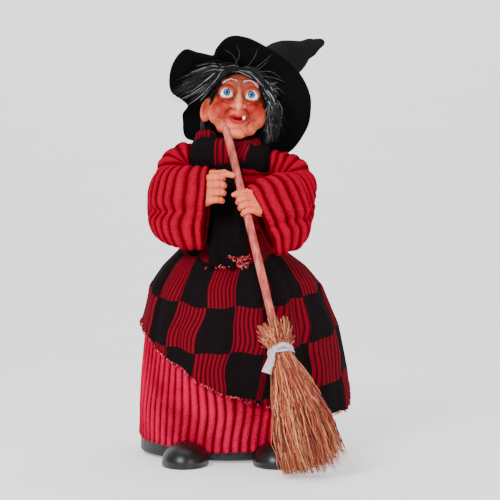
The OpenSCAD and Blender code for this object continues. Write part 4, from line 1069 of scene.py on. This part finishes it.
def build_hair():
    mat = hair_look("wig_hair", (0.0022, 0.0022, 0.0026, 1), (0.34, 0.34, 0.37, 1))
    part = np.array([-4.0, -13.0, 30.5])
    paths = []

    def tone():
        q = rng.uniform()
        if q < 0.88:
            return 0.04 * rng.uniform()
        return 0.15 + 0.25 * rng.uniform() if q < 0.96 else 0.6 + 0.4 * rng.uniform()

    # swept to the viewer's left, over the brim
    for i in range(330):
        q = rng.uniform()
        root = part + np.array([rng.normal(0, 3.0), rng.uniform(-3, 12), rng.normal(0, 1.0)])
        far = np.array([-24 - 36 * rng.uniform(0.1, 1.0) * (0.5 + 0.5 * q), -12 + rng.uniform(-6, 6), 0])
        far[2] = 2 + 26 * (1 - q) * rng.uniform(0.6, 1.1) + rng.normal(0, 3.0)
        mid1 = root + np.array([-8, -5.5, 0.2 + rng.normal(0, 1.0)])
        mid2 = root * 0.45 + far * 0.55 + np.array([-1, -8 + rng.normal(0, 1.2), 2.0 + rng.normal(0, 1.4)])
        pts = spline([root, mid1, mid2, far], 12)
        grey = 0.04 * rng.uniform() if rng.uniform() < 0.8 else rng.uniform(0.3, 0.9)
        paths.append((to_head(pts), grey, rng.uniform(0.5, 1.1)))
    # swept to the viewer's right, beside the face
    for i in range(330):
        q = rng.uniform()
        root = part + np.array([rng.normal(1.5, 3.0), rng.uniform(-3, 12), rng.normal(0, 1.0)])
        mid1 = root + np.array([12 + rng.normal(0, 1), -5.0, -2.5 + rng.normal(0, 1.2)])
        mid2 = np.array([20 + rng.uniform(0, 8), -15 + rng.uniform(-4, 5), 14 + rng.normal(0, 2.5)])
        mid3 = np.array([24.5 + rng.uniform(0, 9) * (0.4 + q), -12 + rng.uniform(-5, 7),
                         -2 + rng.normal(0, 3)])
        end = mid3 + np.array([rng.normal(1.5, 3.0), rng.normal(0, 3), -8 - 18 * rng.uniform() ** 2])
        pts = spline([root, mid1, mid2, mid3, end], 14)
        paths.append((to_head(pts), tone(), rng.uniform(0.7, 1.5)))
    # long thin locks behind the ears, down to the shoulders
    for i in range(260):
        s = rng.choice([-1, 1])
        root = on_head(s * rng.uniform(85, 130), rng.uniform(0, 40), 1.04)
        end = np.array([s * rng.uniform(20, 28), rng.uniform(3, 16), -21 - 10 * rng.uniform()])
        mid = (root + end) / 2 + np.array([s * 5, rng.normal(0, 2), 0])
        paths.append((to_head(spline([root, mid, end], 10)), 0.6 * tone(), rng.uniform(0.7, 1.4)))
    # stray hairs
    for pts in (
        [(8, -17, 30), (17, -22, 38), (24, -24, 45)], [(8, -17, 30), (16, -21, 34), (22, -22, 41)],
        [(-8, -16, 31), (-3, -20, 42), (-6, -22, 50)], [(2, -17, 31), (9, -22, 40), (12, -23, 50)],
        [(-2, -17, 31), (-8, -22, 41), (-16, -22, 46)], [(17, -24, 13), (11, -27, 8.5)],
        [(10, -19, 29), (24, -22, 31), (33, -18, 27)], [(12, -19, 27), (27, -22, 26), (37, -17, 24)],
        [(14, -19, 25), (28, -21, 20), (38, -16, 14)],
    ):
        paths.append((to_head(spline(pts, 10)), 0.16, 0.5))
    for i in range(150):
        h = rng.uniform(-20, 22)
        root = np.array([23 + 3 * math.cos(h / 14) + rng.normal(0, 1), -13 + rng.uniform(-3, 3), h])
        d = np.array([rng.uniform(1, 8), rng.uniform(-5, -1), rng.uniform(-9, 4)])
        paths.append((to_head(spline([root, root + d * 0.5 + (0.5, -0.8, 0.8), root + d], 6)),
                      3 * tone() if i % 3 else 0.35, 0.6))
    strands(paths, "hair_strands", mat, "head", 0.34)
    # the cap the hair grows from, ridged like combed hair, with the ridge tops painted lighter as a painted
    # highlight
    rows, cols = 60, 420
    el = np.linspace(-14, 90, rows)[:, None]
    az = np.linspace(-180, 180, cols, endpoint=False)[None, :]
    front = np.exp(-(az / 58.0) ** 4)
    lift = np.where(el < 48, front, 0)
    e = np.radians(el + (48 - el) * 0.98 * lift)
    a = np.radians(az)
    ridge = 0.45 * np.sin(az * 1.9 + 3 * np.sin(e * 3)) + 0.3 * np.sin(az * 3.7 + el * 0.2)
    g = 25.4 + ridge * np.cos(e)
    v = np.stack([g * np.cos(e) * np.sin(a), 3.5 - (g + 0.4) * np.cos(e) * np.cos(a),
                  2.5 + (g + 3.2) * np.sin(e)], -1)
    mesh("hair_cap", to_head(v.reshape(-1, 3)), grid_faces(rows, cols, True), mat, "head",
         attrs={"tone": (0.01 + 0.04 * (ridge > 0.3)).reshape(-1)}, replaces=["wig"])
    # white eyebrows
    k = hair_look("brow_hair", srgb(186, 174, 170), srgb(240, 236, 236), 0.5)
    brows = []
    for s in (-1, 1):
        d = spline([(s * 2.4, 0, 20.0), (s * 7.5, 0, 21.8), (s * 12.0, 0, 19.8), (s * 15.4, 0, 16.0)], 60)
        depth = np.arange(-32, -8, 0.25)[:, None]
        hit = head_sdf((d[None, :, 0] + 0 * depth, depth + 0 * d[None, :, 0],
                        d[None, :, 2] + 0 * depth)) < 0.15
        d[:, 1] = depth[np.argmax(hit, axis=0), 0]
        for i in range(70):
            j = int(rng.uniform() * 56) + 1
            t = unit(d[j + 1] - d[j - 1])
            c = d[j] + np.array([rng.normal(0, 0.3), rng.uniform(-0.3, 0.1), rng.normal(0, 0.26)])
            l = rng.uniform(1.6, 3.0)
            hair = spline([c, c + t * l * 0.5 + (0, -0.2, 0.15), c + t * l + (0, 0.1, -0.1)], 6)
            brows.append((to_head(hair), rng.uniform(0, 1), rng.uniform(0.6, 1.1)))
    strands(brows, "eyebrows", k, "head", 0.115)


# ---------------------------------------------------------------- hat

CONE_CUT = math.radians(22.4)  # lean of the plane where the cone meets the brim


def build_hat():
    rows, cols = 36, 360
    a = np.arange(cols) * 360 / cols
    s = np.linspace(-0.35, 1, rows)
    mid = brim_point(a[None, :], s[:, None])
    nrm = unit(np.cross(np.roll(mid, -1, 1) - np.roll(mid, 1, 1), np.gradient(mid, axis=0)))
    t = 0.8 + 0.55 * bell(s, 0.965, 0.035)[:, None, None]
    front, back = mid + nrm * t, mid - nrm * t
    v = np.concatenate([front.reshape(-1, 3), back.reshape(-1, 3)])
    f1 = grid_faces(rows, cols, True)
    f2 = grid_faces(rows, cols, True, rows * cols)[:, ::-1]
    i = np.arange(cols)
    k = (i + 1) % cols
    o0, o1 = (rows - 1) * cols, rows * cols + (rows - 1) * cols
    rim = np.stack([o0 + i, o0 + k, o1 + k, o1 + i], 1)
    inner = np.stack([k, i, rows * cols + i, rows * cols + k], 1)
    o = mesh("brim_felt", v, np.vstack([f1, f2, rim, inner]), M["velvet"], "head", replaces=["hat_brim"])
    face_out(o)

    # middle and radius of the cone, from the brim to its tip
    stops = [((6, 20, 300), 34), ((20, 44, 318), 24), ((43.5, 52, 336), 17.6), ((56, 52.5, 342.5), 12),
             ((67, 52, 347.5), 7.4), ((76, 52, 352), 3.6), ((78.4, 52, 352.8), 2.6)]

    def crown(p):
        d = limb(p, [q[0] for q in stops], [q[1] for q in stops], 4)
        # soft creases where the cone folds over
        crease = np.sin(p[0] * 0.25 + p[2] * 0.18 + p[1] * 0.1)
        d = d + 0.8 * crease * smoothstep(20, 60, p[0]) * smoothstep(76, 66, p[0])
        d = smax(d, -(d + 1.7), 0.3)
        behind = (p[1] - 11.5) * math.cos(CONE_CUT) + (p[2] - 297) * math.sin(CONE_CUT)
        return smax(d, -behind, 0.4)

    v, f = surface(crown, (-34, -8, 258), (84, 74, 357), 1.0)
    o = mesh("cone_felt", v, f, M["felt"], "head", replaces=["hat_crown"])
    mod = o.modifiers.new("smooth", "SMOOTH")
    mod.factor, mod.iterations = 0.5, 4


# ---------------------------------------------------------------- hands

TOP, TIP = np.array([-4.6, -40, 269.0]), np.array([58.5, -148, 10.0])
DOWN = unit(TIP - TOP)
ACROSS = unit(np.cross(DOWN, np.array([0, 1.0, 0])))
FRONT = np.cross(DOWN, ACROSS)


def on_stick(z):
    """The point of the stick's axis at a height."""
    t = (TOP[2] - z) / (TOP[2] - TIP[2])
    return TOP + (TIP - TOP) * t


def fist(p, c, d, a, f, size, open_by=0.0):
    """A fist: c is the grip's centre, d runs down the grip, a to the wrist, f to the viewer."""
    p = [(p[i] - c[i]) / size + c[i] for i in range(3)]

    def at(x, y, z):
        return c + a * x + f * y - d * z

    palm = limb(p, [at(14, 2.0, 7), at(14, 2.0, -7)], [6.2, 6.0], 2)
    palm = smin(palm, limb(p, [at(19, 0.5, 5), at(19, 0.5, -4)], [5.6, 5.4], 2), 3)
    palm = smin(palm, limb(p, [at(10, 4.2, 9.0), at(10.2, 4.2, -9.0)], [4.2, 4.0], 2), 2.5)
    out = palm
    rows = [9.4 - 6.2 * i for i in range(4)]
    for i, z in enumerate(rows):
        out = smin(out, limb(p, [at(17, 2.4, z * 0.8), at(10, 5.2, z * 0.95), at(4.4, 6.4, z)],
                             [4.4, 3.7, 3.3], 1), 2.4)
    for i, z in enumerate(rows):
        r = (3.3, 3.4, 3.2, 2.8)[i]
        reach = (0.0, 0.9, 0.4, -1.0)[i] - open_by
        fing = limb(p, [at(4.0, 6.9, z), at(-2.2 - reach * 0.5, 6.6, z), at(-5.4 - reach, 3.2, z),
                        at(-4.8 - reach, -0.8, z),
                        at(-1.5, -2.6, z)], [r, r * 0.96, r * 0.92, r * 0.85, r * 0.7], 0.9)
        out = smin(out, fing, 0.5)
    thumb = limb(p, [at(13, 0, 10), at(6, 1.0, 13.4), at(-2.5 - open_by * 1.5, 1.2, 13.0),
                     at(-8.5 - open_by * 2.0, 0.2, 10.6)],
                 [4.2, 3.3, 2.9, 2.3], 1.2)
    return smin(out, thumb, 1.0) * size


# these two numbers place the painted shade in the creases between the fingers
FINGER_TOP, FINGER_PITCH = 9.6, 6.3  # where the creases between the fingers lie along the grip


def build_hand(mat, node, c, d, a, size, open_by, bore, lo, hi, knuckles):
    """A fist at c with a bore for the stick; the painted shade in the creases between its fingers ends at
    the knuckles.
    """
    f = np.cross(d, a)
    f *= -np.sign(f[1])

    def sdf(p):
        return smax(fist(p, c, d, a, f, size, open_by), -capsule(p, TOP, TIP, bore), 0.3)

    v, faces = surface(sdf, c - lo, c + hi, 0.5)
    # painted shade in the creases between the fingers
    along = ((v - c) @ -d - FINGER_TOP + FINGER_PITCH / 2) % FINGER_PITCH
    crease = 0.85 * bell(along, 0, 0.7) * (((v - c) @ a) < knuckles) * (((v - c) @ f) > -1)
    n = 0.5 + 0.5 * np.sin(v[:, 2] * 1.3)
    masks = {"blush": 0.06 * n, "crease": crease, "pale_tint_and_highlight": 0.12 + 0.12 * n, "lip": 0 * n, "shade": 0 * n}
    mesh(node + "_skin", v, faces, mat, "torso", attrs=masks, replaces=[node])


def build_hands(mat):
    wrist = unit(ACROSS - 0.6 * FRONT)
    build_hand(mat, "hand_left", on_stick(205.5), DOWN, wrist, 0.84, 0.4, 3.0,
               (16, 22, 26), (32, 30, 26), 3.4)
    # the other fist sits beside the stick, its thumb pointing at it
    down = unit(np.array([0.03, -0.12, -1.0]))
    wrist = np.array([-1.0, 0.55, 0.0])
    wrist = unit(wrist - down * wrist.dot(down))
    centre = np.array([-9.6, -57.5, 218.0])
    build_hand(mat, "hand_right", centre, down, wrist, 0.98, 2.2, 3.3,
               (34, 22, 24), (18, 30, 24), 3.9)


# ---------------------------------------------------------------- broom

TWIGS = 820
FLOOR_GAP = 3.2  # no twig comes nearer to the floor


def build_broom():
    length = float(np.linalg.norm(TIP - TOP))
    tie = 0.686 * length
    # stick, whittled: slightly uneven along its length, with a cut end
    n, sides = 90, 28
    s = np.linspace(-1.0, tie + 16, n)
    bend = 0.5 * np.sin(s / 37.0)
    path = TOP + DOWN * s[:, None] + ACROSS * bend[:, None] * 0.4
    ph = np.arange(sides) * TAU / sides
    knobs = 1 + 0.05 * np.sin(ph * 2 + s[:, None] / 60) + 0.02 * np.sin(ph * 7 + s[:, None] / 15)
    r = 3.1 * (1 + 0.03 * np.sin(s / 9.0))[:, None] * knobs
    r[0] *= 0.82
    v = path[:, None] + (r * np.cos(ph))[..., None] * ACROSS + (r * np.sin(ph))[..., None] * FRONT
    ends = [list(range(sides))[::-1], list(range((n - 1) * sides, n * sides))]
    f = grid_faces(n, sides, True).tolist() + ends
    k = Look("stick_wood", srgb(196, 108, 100), 0.6)
    grain = k.noise(260, 5, 0.6, k.scaled(1, 1, 0.12))
    k.set("Base Color", k.ramp(grain, [(0.3, srgb(122, 36, 30)), (0.5, srgb(188, 74, 62)),
                                       (0.75, srgb(222, 122, 106))]))
    o = mesh("stick_whittled", v, f, k.bump(grain, 0.3, 0.6).mat, "torso", replaces=["broom_stick"])
    face_out(o)

    twigs = []

    def loose(m):
        return ACROSS * rng.normal(0, m) + FRONT * rng.normal(0, m)

    for _ in range(TWIGS):
        a = rng.uniform(0, TAU)
        q = math.sqrt(rng.uniform(0.0, 1.0))
        e = np.array([math.cos(a), math.sin(a)]) * q
        neck = 3.6 + 4.6 * q
        start = -rng.uniform(7, 24) * (0.6 + 0.5 * q)
        top = ACROSS * (e[0] * neck * 1.35) + FRONT * (e[1] * neck * 1.2)
        tiep = ACROSS * e[0] * 8.6 + FRONT * e[1] * 8.4
        lower = ACROSS * (e[0] * 24.5 + 3.5) + FRONT * e[1] * 15
        end = length + rng.normal(0, 4.5) - tie - e[0] * 5 + 2
        mid = tiep * 0.42 + lower * 0.58
        pts = [TOP + DOWN * (tie + start) + top * (1.0 + 0.25 * rng.uniform()) + loose(1.0),
               TOP + DOWN * (tie - 5) + tiep * 0.98,
               TOP + DOWN * (tie + 4) + tiep,
               TOP + DOWN * (tie + end * 0.36) + mid * 0.92 + loose(1.2),
               TOP + DOWN * (tie + end * 0.68) + (mid + lower) * 0.5 * 1.02 + loose(1.9),
               TOP + DOWN * (tie + end) + lower + loose(2.4)]
        p = spline(pts, 18)
        p[1:-1] += rng.normal(0, 0.62, (16, 3))
        p[:, 2] = np.maximum(p[:, 2], FLOOR_GAP)
        twigs.append((p, rng.uniform(0, 1), rng.uniform(0.55, 1.15)))
    # short side shoots and strays
    for _ in range(260):
        p0, tone, _ = twigs[rng.integers(TWIGS)]
        j = rng.integers(6, 15)
        out = p0[j] - (TOP + DOWN * (p0[j] - TOP).dot(DOWN))
        out /= max(np.linalg.norm(out), 1e-6)
        l = rng.uniform(4, 11)
        q = spline([p0[j], p0[j] + DOWN * l * 0.5 + out * l * 0.25,
                    p0[j] + DOWN * l + out * l * rng.uniform(0.2, 0.6)], 6)
        q[:, 2] = np.maximum(q[:, 2], FLOOR_GAP)
        twigs.append((q, tone, 0.7))
    k = Look("twig_bark", srgb(180, 100, 60), 0.75)
    n1 = k.noise(500, 3)
    c = k.ramp(k.attr("tone"), [(0.0, srgb(78, 20, 12)), (0.3, srgb(150, 52, 34)),
                                (0.6, srgb(200, 100, 64)),
                                (0.85, srgb(226, 158, 106)), (1.0, srgb(110, 30, 24))])
    k.set("Base Color", k.mix(k.level(n1, 0.35, 0.7, 0.0, 0.55), c, srgb(112, 48, 26)))
    strands(twigs, "twig_bundle", k.bump(n1, 0.2, 0.6).mat, "torso", 0.56, 5,
            replaces=["broom_bristles"])

    # ribbon: two turns, a knot, two tails and a loop
    k = Look("satin_ribbon", srgb(222, 212, 232), 0.38, Sheen_Weight=0.3)
    weave = k.noise(900, 2, vector=k.scaled(1, 1, 6))
    k.set("Base Color", k.mix(k.level(weave, 0.3, 0.7), srgb(214, 198, 206), srgb(158, 138, 150)))
    mat = k.bump(weave, 0.12, 0.5).mat
    parts = []

    def band(points, normal, width):
        """A strip of ribbon through points that faces the way of normal."""
        n = 40
        p = spline(points, n)
        out = unit(spline(normal, n))
        w = unit(np.cross(unit(np.gradient(p, axis=0)), out))
        half = np.broadcast_to(np.asarray(width, float), (n,))[:, None, None]
        cols = np.linspace(-0.5, 0.5, 7)
        crinkle = 0.35 * np.sin(np.arange(n)[:, None] * 0.5 + cols[None, :] * 5)
        crinkle = crinkle + 0.5 * np.abs(cols)[None, :]
        v = p[:, None] + cols[None, :, None] * half * w[:, None] + crinkle[..., None] * out[:, None] * -0.6
        return v.reshape(-1, 3), grid_faces(n, 7).tolist()

    centre = TOP + DOWN * tie
    for turn, off in ((0, -1.2), (1, 1.1)):
        a = np.linspace(0, TAU, 25)
        nrm = ACROSS * np.cos(a)[:, None] + FRONT * np.sin(a)[:, None]
        pts = centre + DOWN * (off + 0.9 * np.sin(a + turn))[:, None] + nrm * (9.9 + 0.3 * turn)
        parts.append(band(pts, nrm, 3.0))
    knot = centre + FRONT * 10.6 - ACROSS * 3.5
    parts.append(band([knot - DOWN * 2.6, knot + FRONT * 2.2, knot + DOWN * 2.8],
                      [FRONT - DOWN, FRONT, FRONT + DOWN], 4.2))
    for dx, dz, w in ((-11, 17, 7.5), (-7, 12, 6.0)):
        parts.append(band([knot, knot - ACROSS * 3 + DOWN * 4 + FRONT * 1.5,
                           knot + ACROSS * dx * 0.6 + DOWN * dz * 0.6 + FRONT * 1.2,
                           knot + ACROSS * dx + DOWN * dz + FRONT * 0.5],
                           [FRONT, FRONT, FRONT + ACROSS * 0.4, FRONT], np.linspace(2.4, w, 40)))
    parts.append(band([knot, knot + ACROSS * 6 - DOWN * 1.5 + FRONT * 1.8,
                       knot + ACROSS * 11 + DOWN * 0.5 + FRONT * 0.2], [FRONT, FRONT, FRONT + ACROSS], 3.4))
    v, f, _ = join(parts)
    o = mesh("ribbon_bow", v, f, mat, "torso", replaces=["broom_ribbon"])
    mod = o.modifiers.new("thick", "SOLIDIFY")
    mod.thickness, mod.offset = 0.35 * MM, 0


# ---------------------------------------------------------------- shoes

def build_shoes():
    for side, node in ((-1, "shoe_right"), (1, "shoe_left")):
        cx = side * 36

        def sdf(p):
            d = egg(p, (cx, -87, 3.6), (18.0, 23.5, 15.0))
            d = smin(d, egg(p, (cx, -72, 3), (18, 18, 12.5)), 5)
            d = smax(d, -(p[2] - 3.4), 0.6)
            sole = smax(egg(p, (cx, -82, 2), (18.6, 28.6, 16)), np.abs(p[2] - 1.75) - 1.7, 0.5)
            return smin(d, sole, 0.25)
        v, f = surface(sdf, (cx - 21, -113, -1), (cx + 21, -77.6, 23), 0.6)
        mesh(node + "_upper", v, f, M["shoe"], "base", replaces=[node])


SKIN = skin()
build_skirt()
hem, deg = build_shawl()
fray = build_fray(hem, deg)
build_head(SKIN)
build_scarf()
build_tail_fray(fray)
build_sleeves()
build_bodice()
build_eyes()
build_hair()
build_hat()
build_hands(SKIN)
build_broom()
build_shoes()

# ---------------------------------------------------------------- stage, camera, lights

k = Look("floor_white", (0.9, 0.9, 0.9, 1), 0.8, Emission_Color=(1, 1, 1, 1), Emission_Strength=0.45)
k.set("Base Color", k.mix(k.noise(4, 2), (0.92, 0.92, 0.92, 1), (0.88, 0.88, 0.88, 1)))
# in metres: a floor that curves up into a backdrop
bend = [(0.9 + 0.6 * math.sin(a), 0.6 - 0.6 * math.cos(a)) for a in np.linspace(0.1, math.pi / 2, 14)]
prof = [(-2.5, 0.0), (0.9, 0.0)] + bend + [(1.5, 3.0)]
v = [(x, y, z) for y, z in prof for x in (-3.0, 3.0)]
me = bpy.data.meshes.new("sweep")
me.from_pydata(v, [], [(2 * i, 2 * i + 1, 2 * i + 3, 2 * i + 2) for i in range(len(prof) - 1)])
me.materials.append(k.mat)
floor = bpy.data.objects.new("sweep", me)
bpy.context.scene.collection.objects.link(floor)

world = bpy.data.worlds.new("studio")
bpy.context.scene.world = world
world.use_nodes = True
sky = world.node_tree.nodes["Background"]
sky.inputs["Color"].default_value = (1, 1, 1, 1)
sky.inputs["Strength"].default_value = 0.42


def area(name, at, target, size, power):
    l = bpy.data.lights.new(name, "AREA")
    l.size, l.energy = size, power
    o = bpy.data.objects.new(name, l)
    o.location = at
    o.rotation_euler = (Vector(target) - Vector(at)).to_track_quat("-Z", "Y").to_euler()
    bpy.context.scene.collection.objects.link(o)


area("key", (-0.75, -1.5, 1.15), (0, 0, 0.18), 0.7, 42)
area("fill", (1.2, -1.3, 0.5), (0, 0, 0.18), 1.0, 13)
area("top", (0.1, 0.5, 1.6), (0, 0, 0.15), 1.2, 14)

cam = bpy.data.cameras.new("camera")
cam.lens, cam.sensor_width = 102.0, 36.0
camera = bpy.data.objects.new("camera", cam)
camera.location = (0.0152, -1.2, 0.1694)
camera.rotation_euler = (math.pi / 2, 0, 0)
bpy.context.scene.collection.objects.link(camera)
bpy.context.scene.camera = camera
